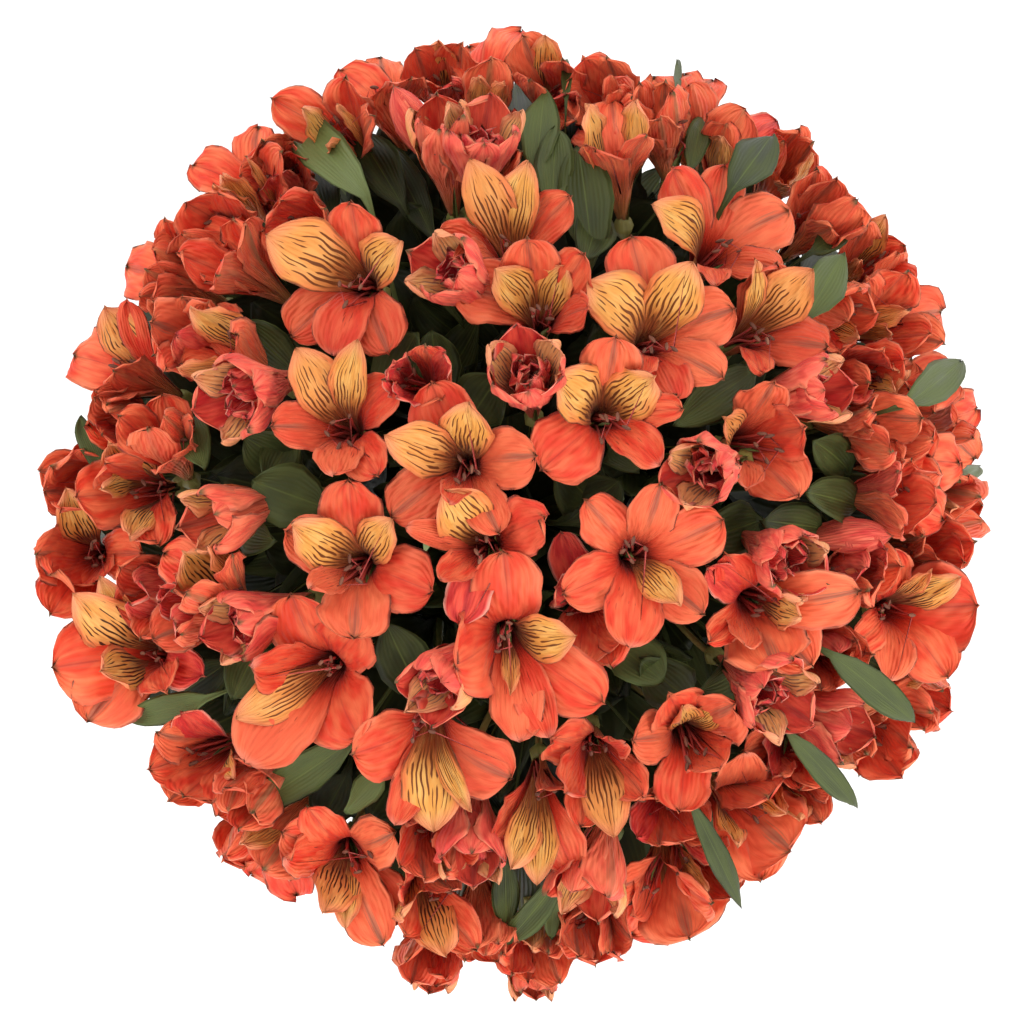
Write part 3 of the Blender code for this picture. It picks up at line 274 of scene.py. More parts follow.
def aim(base, axis, side, up, target, length, a0, s0, s1, curl, lean_to, usual):
    """The turn about the axis and the flare that put a petal's tip over target in the top view. Where two
    do, lean_to picks the one nearer the viewer (1) or farther (-1), and then the more usual flare."""
    flares = np.linspace(-18, 116, 41)
    ends = np.array([[q[-1] for q in centreline(length, a0, f, s0, s1, curl, 41)[1:3]] for f in flares])
    turns = np.linspace(0, 2 * math.pi, 96, endpoint=False)

    def tip(flare, turn):
        r, z = np.interp(flare, flares, ends[:, 0]), np.interp(flare, flares, ends[:, 1])
        return base + (side * math.cos(turn) + up * math.sin(turn)) * r + axis * z

    outs = np.cos(turns)[:, None] * side + np.sin(turns)[:, None] * up
    points = base + ends[:, None, 0:1] * outs[None] + ends[:, None, 1:2] * axis
    scale = VIEW_D / (VIEW_D - (points[..., 2] - DOME_Z)) / PX
    d2 = (508.0 + points[..., 0] * scale - target[0]) ** 2 + (512.0 - points[..., 1] * scale - target[1]) ** 2
    cost = d2 + (np.maximum(flares - 96, 0) ** 2 * 0.15 + np.maximum(2 - flares, 0) ** 2 * 0.10)[:, None]
    cost = cost + ((flares - usual) ** 2 * (0.06 if lean_to else 0.012))[:, None]
    if lean_to:
        cost = cost + 2500.0 * np.clip(0.05 - lean_to * outs[None, :, 2], 0, 1)
    a, b = np.unravel_index(np.argmin(cost), cost.shape)
    flare, turn = flares[a], turns[b]
    for _ in range(8):
        here = to_pixel(tip(flare, turn))
        miss = np.asarray(target, float) - here
        if miss @ miss < 0.05:
            break
        j = np.stack([(to_pixel(tip(flare + 1, turn)) - here), (to_pixel(tip(flare, turn + 0.02)) - here) / 0.02], 1)
        step = np.linalg.solve(j.T @ j + np.diag((0.05, 30.0)), j.T @ miss)
        flare = float(np.clip(flare + np.clip(step[0], -8, 8), -18, 114))
        turn = turn + float(np.clip(step[1], -0.2, 0.2))
    miss = np.asarray(target, float) - to_pixel(tip(flare, turn))
    return turn, flare, math.hypot(*miss)


def aimed(base, axis, side, up, target, length, most, a0, s0, s1, curl, lean_to, usual):
    """As aim, with the petal made longer, up to most times, until its tip gets there."""
    stretch = 1.0
    while True:
        turn, flare, miss = aim(base, axis, side, up, target, length * stretch, a0, s0, s1, curl, lean_to, usual)
        if miss < 3.0 or stretch * 1.06 > most:
            return turn, flare, length * stretch, miss
        stretch *= 1.06


def petal(mesh, base, axis, side, up, phi, kind, length, width, reach, rng, slot, seed, cup=0.0, curl=0.0,
          ruffle=1.0, twist=0.0, bend=0.0, a0=13.0, s0=0.30, s1=0.86, fold=0.0, shade=0.0, flare=None, face=0.0,
          grid=(17, 13), ahead=0.0):
    """One petal from the floret's base, leaning out towards phi, its tip reach from the axis. Its blade turns
    about its own length towards the viewer by the share face, and lies ahead of the others by ahead."""
    ROWS, COLS = grid
    if flare is None:
        flare = solve_flare(length, a0, s0, s1, curl, reach)
    s, r, z, angle = centreline(length, a0, flare, s0, s1, curl)
    t = np.linspace(0, 1, ROWS)
    rows = 1 - (1 - t) ** 1.35
    rr, zz, aa = (np.interp(rows, s, q) for q in (r, z, angle))
    w = np.linspace(-1, 1, COLS)
    w = np.sign(w) * np.abs(w) ** 0.9
    half = half_width(kind, rows) * width
    half[-1] = max(half[-1], width * 0.03)
    out = side * math.cos(phi) + up * math.sin(phi)
    across = -side * math.sin(phi) + up * math.cos(phi)
    phases = rng.uniform(0, 6.28, 6)
    a75 = math.radians(a0 + (flare - a0) * float(smooth(s0, s1, 0.75)))
    inward = -out * math.cos(a75) + axis * math.sin(a75)
    toward = math.copysign(max(abs(inward[2]), 0.12), inward[2])
    want = face * float(np.clip(math.atan(-across[2] / toward), -1.0, 1.0))
    # a round petal's end is notched a little either side of its point
    notch = (0.030 if kind in "os" else 0.012) * length
    points = np.zeros((ROWS, COLS, 3))
    for i in range(ROWS):
        si, ri, zi, ai, hi = rows[i], rr[i], zz[i], aa[i], half[i]
        along = out * math.sin(ai) + axis * math.cos(ai)
        inward = -out * math.cos(ai) + axis * math.sin(ai)
        x = w * hi * (1 + smooth(0.30, 0.55, si) * (0.045 * np.sin(si * 12.0 + phases[4] + 2.1 * np.sign(w))
                                                    + 0.028 * np.sin(si * 29.0 + phases[5] - 1.3 * np.sign(w))))
        # the claw wraps the floret's axis, and the blade is nearly flat
        wrap = 1 - smooth(0.22, 0.62, si)
        lift = wrap * x**2 / (2 * max(ri, 0.0028)) * 0.9
        blade = smooth(0.40, 0.85, si)
        lift += blade * cup * hi * np.abs(w) ** 2
        lift -= blade * 0.0010 * np.exp(-((w / 0.14) ** 2)) * (1 if kind != "c" else 0.4)
        lift += fold * hi * np.abs(w) * smooth(0.35, 0.7, si)
        wave = (np.sin(si * 9.0 + phases[0] + np.sign(w) * 0.8) * 0.55 + np.sin(si * 17.0 + phases[1] + w * 1.5) * 0.45)
        lift += ruffle * 0.0025 * blade * np.abs(w) ** 2.2 * wave * (width / 0.012)
        lift += ruffle * 0.0009 * blade * np.abs(w) ** 3 * np.sin(si * 34.0 + phases[2] + 2.0 * np.sign(w))
        lift += 0.00045 * blade * np.sin(w * 5.2 + phases[3] + si * 3.0)
        turn = twist * si * si + want * smooth(0.25, 0.70, si)
        c, q = math.cos(turn), math.sin(turn)
        sidewise = x * c - lift * q
        lift = x * q + lift * c
        slip = -notch * np.exp(-(((np.abs(w) - 0.42) / 0.22) ** 2)) * smooth(0.80, 1.0, si) * np.sin(math.pi * min(1.0, (1 - si) * 4 + 0.35))
        slip = slip - 0.06 * length * smooth(0.55, 1.0, si) * np.abs(w) ** 2 * (0.35 if kind in "os" else 0.15)
        points[i] = (base + out * ri + axis * zi + across * (sidewise[:, None] + bend * length * si * si)
                     + inward * lift[:, None] + along * slip[:, None] + axis * (ahead * smooth(0.30, 0.70, si)))
    thick = 0.00030 * (1 - 0.5 * np.abs(w)[None, :] ** 3) * np.ones((ROWS, 1))
    everything, faces, behind = sheet_solid(points, thick)
    uv = np.zeros((ROWS, COLS, 2))
    uv[..., 0] = (w[None, :] + 1) / 2
    uv[..., 1] = rows[:, None]
    mesh.add(everything, faces, np.where(behind, GOLDBACK if slot == YELLOW else BACK, slot), sheet_values(uv), seed, shade)
    return points


def stamens(mesh, base, axis, side, up, down, length, count, rng, seed):
    """Filaments that leave the throat and bow towards the lower side, each but the last with its anther."""
    for k in range(count):
        a = 2 * math.pi * k / count + rng.uniform(-0.3, 0.3)
        start = base + (side * math.cos(a) + up * math.sin(a)) * 0.0016 + axis * 0.004
        spread = side * math.cos(a) + up * math.sin(a)
        reach = length * (rng.uniform(0.62, 0.84) if k < count - 1 else 0.60)
        sag = down * reach * rng.uniform(0.06, 0.26)
        end = base + axis * reach + sag + spread * rng.uniform(0.0015, 0.0052)
        path = bezier(start, start + axis * reach * 0.45, end - axis * reach * 0.22 + down * 0.001, end, 8)
        tube(mesh, path, np.linspace(0.00062, 0.00036, len(path)), 5, STAMEN, seed + 0.13 * k)
        if k < count - 1:
            aim = unit(axis * 0.5 + spread * rng.uniform(-0.6, 0.8) + down * 0.5)
            body = end + aim * np.linspace(-0.0017, 0.0020, 6)[:, None]
            fat = 0.00072 * np.sqrt(np.maximum(1 - np.linspace(-0.93, 0.93, 6) ** 2, 0.02))
            tube(mesh, body, fat, 6, ANTHER, seed + 0.07 * k)


def ovary(mesh, base, axis, seed, size=1.0):
    """The ribbed green ovary under the petals."""
    n, sides = 9, 18
    t = np.linspace(0, 1, n)
    radius = np.interp(t, (0, 0.15, 0.5, 0.85, 1), (0.0012, 0.0022, 0.0034, 0.0028, 0.0018)) * size
    path = base + axis * ((t * 0.0085 - 0.0065) * size)[:, None]
    mesh_count = mesh.count
    tube(mesh, path, radius, sides, STALK, seed, 0.15)
    points = mesh.v[-1]
    a = np.arange(sides) / sides * 2 * math.pi
    for i in range(n):
        ring = points[i * sides:(i + 1) * sides]
        middle = path[i]
        ring[:] = middle + (ring - middle) * (1 + 0.10 * np.cos(6 * a))[:, None]


def frame_about(axis, hint):
    side = unit(np.cross(hint, axis))
    return side, np.cross(axis, side)


def bud(mesh, base, axis, side, up, length, width, rng, seed):
    """A closed bud: three petals wrapped round each other, with a green point."""
    n, sides = 15, 24
    t = np.linspace(0, 1, n)
    radius = width * np.interp(t, (0, .08, .2, .38, .58, .75, .88, .96, 1.0), (.16, .30, .55, .86, 1.0, .88, .58, .26, .06))
    a = np.linspace(0, 2 * math.pi, sides, endpoint=False)
    rings = []
    for ti, ri in zip(t, radius):
        b = a + 0.9 * ti
        lobe = ((b * 3 / (2 * math.pi)) % 1.0)
        r = ri * (1 + 0.13 * (lobe - 0.5) * smooth(0.05, 0.4, ti)) * (1 + 0.03 * np.sin(6 * b))
        rings.append(base + axis * (ti * length) + (np.cos(a)[:, None] * side + np.sin(a)[:, None] * up) * r[:, None])
    points = np.concatenate([np.concatenate(rings), [base, base + axis * length * 1.03]])
    uv = np.concatenate([np.stack([((a + 0.9 * ti) * 3 / (2 * math.pi)) % 1.0, np.full(sides, ti)], 1) for ti in t] + [[[.5, 0], [.5, 1]]])
    i, j = np.meshgrid(np.arange(n - 1), np.arange(sides), indexing="ij")
    k = (j + 1) % sides
    quads = np.stack([i * sides + j, i * sides + k, (i + 1) * sides + k, (i + 1) * sides + j], -1).reshape(-1, 4)
    j = np.arange(sides)
    k = (j + 1) % sides
    low = np.stack([k, j, np.full(sides, n * sides), np.full(sides, -1)], 1)
    high = np.stack([(n - 1) * sides + j, (n - 1) * sides + k, np.full(sides, n * sides + 1), np.full(sides, -1)], 1)
    mesh.add(points, np.concatenate([quads, low, high]), BACK, uv, seed, 0.75)


# ---------------------------------------------------------------- leaves
def leaf(mesh, path, width, normal, rng, seed, shade=0.0, twist=0.0, fold=0.22, start=0.0, blunt=0.5, cols=9):
    """A lance-shaped leaf along path, its blade from the share start on, with a channel down its middle and
    wavy edges. A blunt one is broad almost to its tip."""
    path = np.asarray(path, float)
    n = len(path)
    t = np.linspace(0, 1, n)
    w = np.linspace(-1, 1, cols)
    tangent = np.gradient(path, axis=0)
    tangent /= np.linalg.norm(tangent, axis=1, keepdims=True)
    blade = np.clip((t - start) / (1 - start), 0, 1)
    lance = np.interp(blade, (0, .06, .2, .45, .62, .78, .9, .97, 1.0), (.10, .24, .70, 1.0, .92, .66, .34, .11, .02))
    broad = np.interp(blade, (0, .06, .2, .45, .62, .78, .9, .97, 1.0), (.10, .24, .62, .96, 1.0, .90, .64, .34, .05))
    half = width * (lance * (1 - blunt) + broad * blunt)
    phases = rng.uniform(0, 6.28, 2)
    points = np.zeros((n, cols, 3))
    for i in range(n):
        nrm = unit(normal - tangent[i] * (normal @ tangent[i]))
        side = np.cross(tangent[i], nrm)
        turn = twist * t[i]
        side, nrm = side * math.cos(turn) + nrm * math.sin(turn), nrm * math.cos(turn) - side * math.sin(turn)
        lift = fold * half[i] * np.abs(w) ** 1.3 + 0.0014 * np.sin(t[i] * 11 + phases[0] + np.sign(w)) * np.abs(w) ** 2
        points[i] = path[i] + side * (w * half[i])[:, None] + nrm * lift[:, None]
    everything, faces, _ = sheet_solid(points, 0.00035 * np.ones((n, cols)))
    uv = np.zeros((n, cols, 2))
    uv[..., 0] = (w[None, :] + 1) / 2
    uv[..., 1] = t[:, None]
    mesh.add(everything, faces, LEAF, sheet_values(uv), seed, shade)


# ---------------------------------------------------------------- materials
def nodes_of(name):
    material = bpy.data.materials.new(name)
    material.use_nodes = True
    tree = material.node_tree
    return material, tree, tree.nodes["Principled BSDF"]


class Maker:
    """Short names for building node trees."""

    def __init__(self, name):
        self.material, self.tree, self.shader = nodes_of(name)

    def node(self, kind, **inputs):
        n = self.tree.nodes.new(kind)
        for key, value in inputs.items():
            setattr(n, key, value)
        return n

    def put(self, socket, value):
        if isinstance(value, bpy.types.NodeSocket):
            self.tree.links.new(value, socket)
        elif value is not None:
            socket.default_value = value

    def math(self, operation, a, b=None, c=None, clamp=False):
        n = self.node("ShaderNodeMath", operation=operation, use_clamp=clamp)
        for socket, value in zip(n.inputs, (a, b, c)):
            self.put(socket, value)
        return n.outputs[0]

    def ramp(self, value, low, high, to_low=0.0, to_high=1.0, kind="SMOOTHSTEP"):
        n = self.node("ShaderNodeMapRange", interpolation_type=kind)
        for key, item in (("Value", value), ("From Min", low), ("From Max", high), ("To Min", to_low), ("To Max", to_high)):
            self.put(n.inputs[key], item)
        return n.outputs[0]

    def mix(self, factor, a, b, blend="MIX"):
        n = self.node("ShaderNodeMix", data_type="RGBA", blend_type=blend)
        self.put(n.inputs[0], factor)
        self.put(n.inputs[6], (*a, 1) if isinstance(a, tuple) else a)
        self.put(n.inputs[7], (*b, 1) if isinstance(b, tuple) else b)
        return n.outputs[2]

    def attribute(self, name):
        return self.node("ShaderNodeAttribute", attribute_name=name, attribute_type="GEOMETRY").outputs["Fac"]

    def uv(self):
        n = self.node("ShaderNodeUVMap", uv_map="UVMap")
        s = self.node("ShaderNodeSeparateXYZ")
        self.tree.links.new(n.outputs[0], s.inputs[0])
        return s.outputs[0], s.outputs[1]

    def vector(self, x, y, z=0.0):
        n = self.node("ShaderNodeCombineXYZ")
        for socket, value in zip(n.inputs, (x, y, z)):
            self.put(socket, value)
        return n.outputs[0]

    def noise(self, vector, scale, detail=2.0, rough=0.5, dims="3D"):
        n = self.node("ShaderNodeTexNoise", noise_dimensions=dims)
        self.put(n.inputs["Vector"], vector)
        n.inputs["Scale"].default_value = scale
        n.inputs["Detail"].default_value = detail
        n.inputs["Roughness"].default_value = rough
        return n.outputs[0]

    def bump(self, height, strength, distance=0.001):
        n = self.node("ShaderNodeBump")
        n.inputs["Strength"].default_value = strength
        n.inputs["Distance"].default_value = distance
        self.put(n.inputs["Height"], height)
        self.tree.links.new(n.outputs[0], self.shader.inputs["Normal"])

    def finish(self, color, roughness):
        self.put(self.shader.inputs["Base Color"], color)
        self.put(self.shader.inputs["Roughness"], roughness)
        return self.material


def srgb(code):
    values = [int(code[i:i + 2], 16) / 255 for i in (1, 3, 5)]
    return tuple(v / 12.92 if v <= 0.04045 else ((v + 0.055) / 1.055) ** 2.4 for v in values)


def petal_material(name, kind):
    m = Maker(name)
    u, v = m.uv()
    seed = m.attribute("seed")
    shade = m.attribute("shade")
    w = m.math("SUBTRACT", m.math("MULTIPLY", u, 2.0), 1.0)
    aw = m.math("ABSOLUTE", w)
    offset = m.math("MULTIPLY", seed, 37.0)
    # each is one number for a petal; veins follow the petal and fan out in its blade
    each = m.math("FRACT", m.math("MULTIPLY", seed, 7.31))
    other = m.math("FRACT", m.math("MULTIPLY", seed, 17.77))
    fine = m.noise(m.vector(m.math("MULTIPLY", w, 15.0), m.math("MULTIPLY", v, 1.8), offset), 1.6, 1.0, 0.65)
    soft = m.noise(m.vector(m.math("MULTIPLY", w, 1.7), m.math("MULTIPLY", v, 2.6), offset), 1.7, 1.0, 0.6)
    if kind == "back":
        colour = m.mix(m.ramp(v, 0.20, 0.66), srgb("#DA7A44"), srgb("#E65E40"))
        colour = m.mix(m.math("MULTIPLY", m.ramp(soft, 0.30, 0.68), 0.80), colour, srgb("#EE7E52"))
        colour = m.mix(m.math("MULTIPLY", m.ramp(fine, 0.46, 0.64), 0.32), colour, srgb("#B4341E"))
        keel = m.math("MULTIPLY", m.ramp(m.math("ADD", aw, m.math("MULTIPLY", m.math("SUBTRACT", fine, 0.5), 0.40)), 0.04, 0.22, 1.0, 0.0),
                      m.ramp(v, 1.0, 0.80, 0.6, 1.0))
        keel = m.math("MULTIPLY", m.math("MULTIPLY", keel, m.ramp(each, 0.15, 0.75, 0.15, 0.75)), m.ramp(shade, 0.2, 0.7, 1.0, 0.25))
        colour = m.mix(keel, colour, srgb("#8A6644"))
        claw = m.math("MULTIPLY", m.ramp(v, 0.66, 0.34), m.ramp(fine, 0.46, 0.58))
        colour = m.mix(m.math("MULTIPLY", claw, 0.60), colour, srgb("#7E4422"))
        colour = m.mix(m.math("MULTIPLY", m.ramp(v, 0.36, 0.04), 0.70), colour, srgb("#7E6A2C"))
        pink = m.mix(m.ramp(soft, 0.3, 0.7), srgb("#C4243A"), srgb("#EC6258"))
        colour = m.mix(m.math("MULTIPLY", shade, 0.78), colour, pink)
        rim = m.math("MULTIPLY", m.ramp(aw, 0.80, 1.0), m.math("ADD", m.math("MULTIPLY", shade, 0.6), 0.25))
        colour = m.mix(rim, colour, srgb("#F0946E"))
        tip = m.math("MULTIPLY", m.ramp(m.math("SUBTRACT", v, m.math("MULTIPLY", aw, 0.10)), 0.92, 0.985), m.ramp(other, 0.2, 0.7, 0.2, 0.9))
        colour = m.mix(tip, colour, srgb("#4E5030"))
    elif kind in ("yellow", "gold_back"):
        edge = m.math("ADD", aw, m.math("MULTIPLY", m.math("SUBTRACT", soft, 0.5), 0.9))
        colour = m.mix(m.ramp(v, 0.34, 0.64), srgb("#C8642E"), srgb("#E2A24E"))
        colour = m.mix(m.math("MULTIPLY", m.ramp(soft, 0.42, 0.62), 0.7), colour, srgb("#EDBE6C"))
        colour = m.mix(m.math("MULTIPLY", m.ramp(edge, 0.52, 1.02), 0.85), colour, srgb("#E56C40"))
        colour = m.mix(m.math("MULTIPLY", m.ramp(m.math("ADD", v, m.math("MULTIPLY", aw, 0.08)), 0.84, 1.0), 0.70), colour, srgb("#EE9672"))
        colour = m.mix(m.ramp(each, 0.4, 1.0, 0.0, 0.45), colour, srgb("#E58150"))
        colour = m.mix(m.math("MULTIPLY", m.ramp(fine, 0.52, 0.66), 0.22), colour, srgb("#C4642E"))
        # dark dashes that fan along the veins
        bend = m.math("MULTIPLY", m.math("SUBTRACT", m.noise(m.vector(w, m.math("MULTIPLY", v, 2.5), offset), 2.2, 1.0), 0.5), 1.7)
        lines = m.math("ADD", m.math("MULTIPLY", w, m.ramp(v, 0.35, 0.9, 4.6, 7.0, "LINEAR")), m.math("ADD", bend, 0.35))
        cell = m.math("FLOOR", lines)
        across = m.math("ABSOLUTE", m.math("SUBTRACT", m.math("SUBTRACT", lines, cell), 0.5))
        gate = m.noise(m.vector(m.math("MULTIPLY", cell, 7.31), m.math("MULTIPLY", v, 3.6), offset), 1.9, 0.0)
        gate = m.math("ADD", gate, m.ramp(v, 0.80, 0.55, 0.0, 0.18))
        span = m.math("MULTIPLY", m.ramp(v, 0.38, 0.50), m.ramp(m.math("ADD", v, m.math("MULTIPLY", aw, 0.14)), 0.95, 0.88))
        span = m.math("MULTIPLY", span, m.ramp(aw, 0.90, 0.76))
        wide = m.math("MULTIPLY", m.ramp(gate, 0.43, 0.56), m.ramp(v, 0.46, 0.92, 0.28, 0.15))
        dash = m.math("MULTIPLY", m.ramp(across, wide, m.math("ADD", wide, -0.07)), span)
        throat = m.math("MULTIPLY", m.ramp(v, 0.64, 0.42), m.ramp(fine, 0.30, 0.55, 0.35, 1.0))
        deep = "#6E2A18" if kind == "yellow" else "#98502A"
        colour = m.mix(m.math("MULTIPLY", throat, 0.85 if kind == "yellow" else 0.55), colour, srgb(deep))
        colour = m.mix(m.math("MULTIPLY", dash, 0.97 if kind == "yellow" else 0.70), colour, srgb("#3A1006"))
        colour = m.mix(m.math("MULTIPLY", shade, 0.5), colour, srgb("#F0B08A"))
        if kind == "gold_back":
            colour = m.mix(0.25, colour, srgb("#DA7446"))
            colour = m.mix(m.math("MULTIPLY", m.ramp(v, 0.36, 0.04), 0.70), colour, srgb("#86622E"))
    else:
        light = srgb("#EA7048") if kind == "outer" else srgb("#E86C44")
        base = srgb("#DA3E26") if kind == "outer" else srgb("#D83C24")
        colour = m.mix(m.math("MULTIPLY", m.ramp(soft, 0.32, 0.68), m.ramp(v, 0.34, 0.74)), base, light)
        colour = m.mix(m.ramp(each, 0.30, 1.0, 0.0, 0.55), colour, srgb("#EE7E52"))
        colour = m.mix(m.ramp(other, 0.40, 0.0, 0.0, 0.45), colour, srgb("#D23A2A"))
        colour = m.mix(m.math("MULTIPLY", m.ramp(fine, 0.50, 0.68), 0.22), colour, srgb("#C23020"))
        colour = m.mix(m.ramp(v, 0.58, 0.32, 0.0, 0.65), colour, srgb("#CC3420"))
        throat = m.math("MULTIPLY", m.ramp(v, 0.46, 0.24), m.ramp(fine, 0.36, 0.56, 0.4, 1.0))
        # the dark throat is the petal's own colour; on florets not marked as in full light it is weakened, painted
        # light that lifts their shaded cups
        throat = m.math("MULTIPLY", throat, m.ramp(shade, -0.10, 0.0, 1.0, 0.45, "LINEAR"))
        colour = m.mix(m.math("MULTIPLY", throat, 0.90), colour, srgb("#5C1A12"))
        edging = m.math("MULTIPLY", m.ramp(m.math("ADD", aw, m.math("MULTIPLY", m.math("SUBTRACT", soft, 0.5), 0.5)), 0.70, 1.0), m.ramp(v, 0.35, 0.6, 0.0, 0.32))
        colour = m.mix(edging, colour, srgb("#F0926C"))
        if kind == "outer":
            band = m.math("ADD", aw, m.math("MULTIPLY", m.math("SUBTRACT", fine, 0.5), 0.40))
            stripe = m.math("MULTIPLY", m.ramp(band, 0.02, 0.20, 1.0, 0.0), m.ramp(v, 0.50, 0.86))
            colour = m.mix(m.math("MULTIPLY", stripe, m.ramp(each, 0.25, 0.85, 0.10, 0.80)), colour, srgb("#87604A"))
            middle = m.math("MULTIPLY", m.ramp(aw, 0.0, 0.035, 1.0, 0.0), m.ramp(v, 0.45, 0.8))
            colour = m.mix(m.math("MULTIPLY", middle, 0.45), colour, srgb("#96302A"))
            point = m.math("MULTIPLY", m.ramp(v, 0.94, 0.99), m.ramp(aw, 0.6, 0.2))
            colour = m.mix(m.math("MULTIPLY", point, 0.85), colour, srgb("#4C4C2E"))
        else:
            flecks = m.noise(m.vector(m.math("MULTIPLY", w, 9.0), m.math("MULTIPLY", v, 6.0), offset), 1.5, 1.0)
            spot = m.math("MULTIPLY", m.ramp(flecks, 0.66, 0.70), m.math("MULTIPLY", m.ramp(v, 0.45, 0.55), m.ramp(v, 0.8, 0.7)))
            colour = m.mix(m.math("MULTIPLY", spot, 0.8), colour, srgb("#6A2318"))
            colour = m.mix(m.math("MULTIPLY", m.ramp(v, 0.93, 1.0), 0.5), colour, srgb("#F0A488"))
        crimson = m.mix(m.ramp(soft, 0.3, 0.7), srgb("#B4162C"), srgb("#E4443E"))
        colour = m.mix(m.math("MULTIPLY", shade, 0.88), colour, crimson)
        rim = m.math("MULTIPLY", m.ramp(aw, 0.80, 1.0), shade)
        colour = m.mix(m.math("MULTIPLY", rim, 0.8), colour, srgb("#F6B8A0"))
    # a shade below nought marks a petal in full light; its colour is darkened there towards deep red, or brown on
    # golden petals: painted shade that tones down the strong light on it
    painted_dimming = m.ramp(shade, 0.0, -0.10, 0.0, 0.24 if kind == "yellow" else 0.27, "LINEAR")
    colour = m.mix(painted_dimming, colour, srgb("#A8602C" if kind in ("yellow", "gold_back") else "#A82C1C"))
    # crinkles along the veins and across them
    ribs = m.math("SINE", m.math("ADD", m.math("MULTIPLY", w, 38.0), m.math("ADD", m.math("MULTIPLY", v, 7.0), offset)))
    waves = m.math("SINE", m.math("ADD", m.math("MULTIPLY", w, 9.0), m.math("ADD", m.math("MULTIPLY", v, -17.0), m.math("MULTIPLY", offset, 1.7))))
    small = m.math("SINE", m.math("ADD", m.math("MULTIPLY", w, -21.0), m.math("ADD", m.math("MULTIPLY", v, 39.0), m.math("MULTIPLY", offset, 2.3))))
    height = m.math("ADD", m.math("MULTIPLY", ribs, 0.30), m.math("ADD", m.math("MULTIPLY", waves, 0.55), m.math("MULTIPLY", small, 0.28)))
    m.bump(height, 0.55, 0.0007)
    m.shader.inputs["Specular IOR Level"].default_value = 0.16
    m.shader.inputs["Sheen Weight"].default_value = 0.04
    m.shader.inputs["Sheen Roughness"].default_value = 0.5
    return m.finish(colour, 0.52)


def leaf_material():
    m = Maker("leaf_green")
    u, v = m.uv()
    seed, shade = m.attribute("seed"), m.attribute("shade")
    w = m.math("SUBTRACT", m.math("MULTIPLY", u, 2.0), 1.0)
    aw = m.math("ABSOLUTE", w)
    offset = m.math("MULTIPLY", seed, 41.0)
    veins = m.math("SINE", m.math("ADD", m.math("MULTIPLY", w, 38.0), m.math("MULTIPLY", m.math("SINE", m.math("ADD", m.math("MULTIPLY", v, 7.0), offset)), 0.8)))
    soft = m.noise(m.vector(m.math("MULTIPLY", w, 1.2), m.math("MULTIPLY", v, 3.0), offset), 1.4, 1.0)
    colour = m.mix(m.ramp(soft, 0.3, 0.72), srgb("#22270F"), srgb("#3C431E"))
    colour = m.mix(m.math("MULTIPLY", m.ramp(veins, 0.2, 1.0), 0.22), colour, srgb("#1C200E"))
    colour = m.mix(m.math("MULTIPLY", m.ramp(aw, 0.05, 0.0), 0.5), colour, srgb("#5C682C"))
    colour = m.mix(m.math("MULTIPLY", m.ramp(aw, 0.93, 1.0), 0.4), colour, srgb("#66703A"))
    # a shade above nought lightens a leaf towards a lit green, painted light; a shade below nought darkens it almost to
    # black, painted shade for the leaves deep in the gaps
    colour = m.mix(m.math("MULTIPLY", shade, 0.80, clamp=True), colour, srgb("#6E7A46"))
    colour = m.mix(m.ramp(shade, 0.0, -0.5, 0.0, 0.80, "LINEAR"), colour, srgb("#12150A"))
    m.bump(m.math("MULTIPLY", veins, 0.5), 0.30, 0.0005)
    m.shader.inputs["Specular IOR Level"].default_value = 0.20
    return m.finish(colour, m.ramp(soft, 0.3, 0.7, 0.42, 0.58))


def plain_plant(name, dark, light, tip, roughness, scale):
    """A stalk's finish: lengthwise fibres, a slow change of colour and a blush that shade sets."""
    m = Maker(name)
    u, v = m.uv()
    seed, shade = m.attribute("seed"), m.attribute("shade")
    offset = m.math("MULTIPLY", seed, 29.0)
    fibre = m.noise(m.vector(m.math("MULTIPLY", u, 26.0), m.math("MULTIPLY", v, 9.0), offset), scale, 3.0, 0.6)
    slow = m.noise(m.vector(u, m.math("MULTIPLY", v, 6.0), offset), 2.0, 2.0)
    colour = m.mix(m.ramp(slow, 0.3, 0.7), srgb(dark), srgb(light))
    colour = m.mix(m.math("MULTIPLY", m.ramp(fibre, 0.42, 0.68), 0.4), colour, srgb(dark))
    colour = m.mix(shade, colour, srgb(tip))
    m.bump(fibre, 0.4, 0.0004)
    m.shader.inputs["Specular IOR Level"].default_value = 0.4
    return m.finish(colour, roughness)


def cut_material():
    m = Maker("cut_end")
    u, v = m.uv()
    seed = m.attribute("seed")
    pith = m.noise(m.vector(m.math("MULTIPLY", u, 9.0), m.math("MULTIPLY", v, 9.0), seed), 6.0, 3.0)
    colour = m.mix(m.ramp(pith, 0.35, 0.65), srgb("#C9CFA0"), srgb("#9FAA6C"))
    m.bump(pith, 0.5, 0.0005)
    return m.finish(colour, 0.6)


def twine_material():
    m = Maker("jute_twine")
    u, v = m.uv()
    seed = m.attribute("seed")
    strands = m.math("SINE", m.math("ADD", m.math("MULTIPLY", v, 2600.0), m.math("MULTIPLY", u, 6.2832 * 3)))
    fibre = m.noise(m.vector(m.math("MULTIPLY", u, 30.0), m.math("MULTIPLY", v, 500.0), seed), 1.0, 4.0, 0.7)
    colour = m.mix(m.ramp(fibre, 0.3, 0.7), srgb("#8A6A42"), srgb("#C2A273"))
    colour = m.mix(m.ramp(strands, -1.0, -0.3, 0.55, 0.0), colour, srgb("#5A4226"))
    m.bump(m.math("ADD", m.math("MULTIPLY", strands, 0.5), fibre), 0.8, 0.0005)
    m.shader.inputs["Specular IOR Level"].default_value = 0.2
    m.shader.inputs["Sheen Weight"].default_value = 0.3
    return m.finish(colour, 0.9)


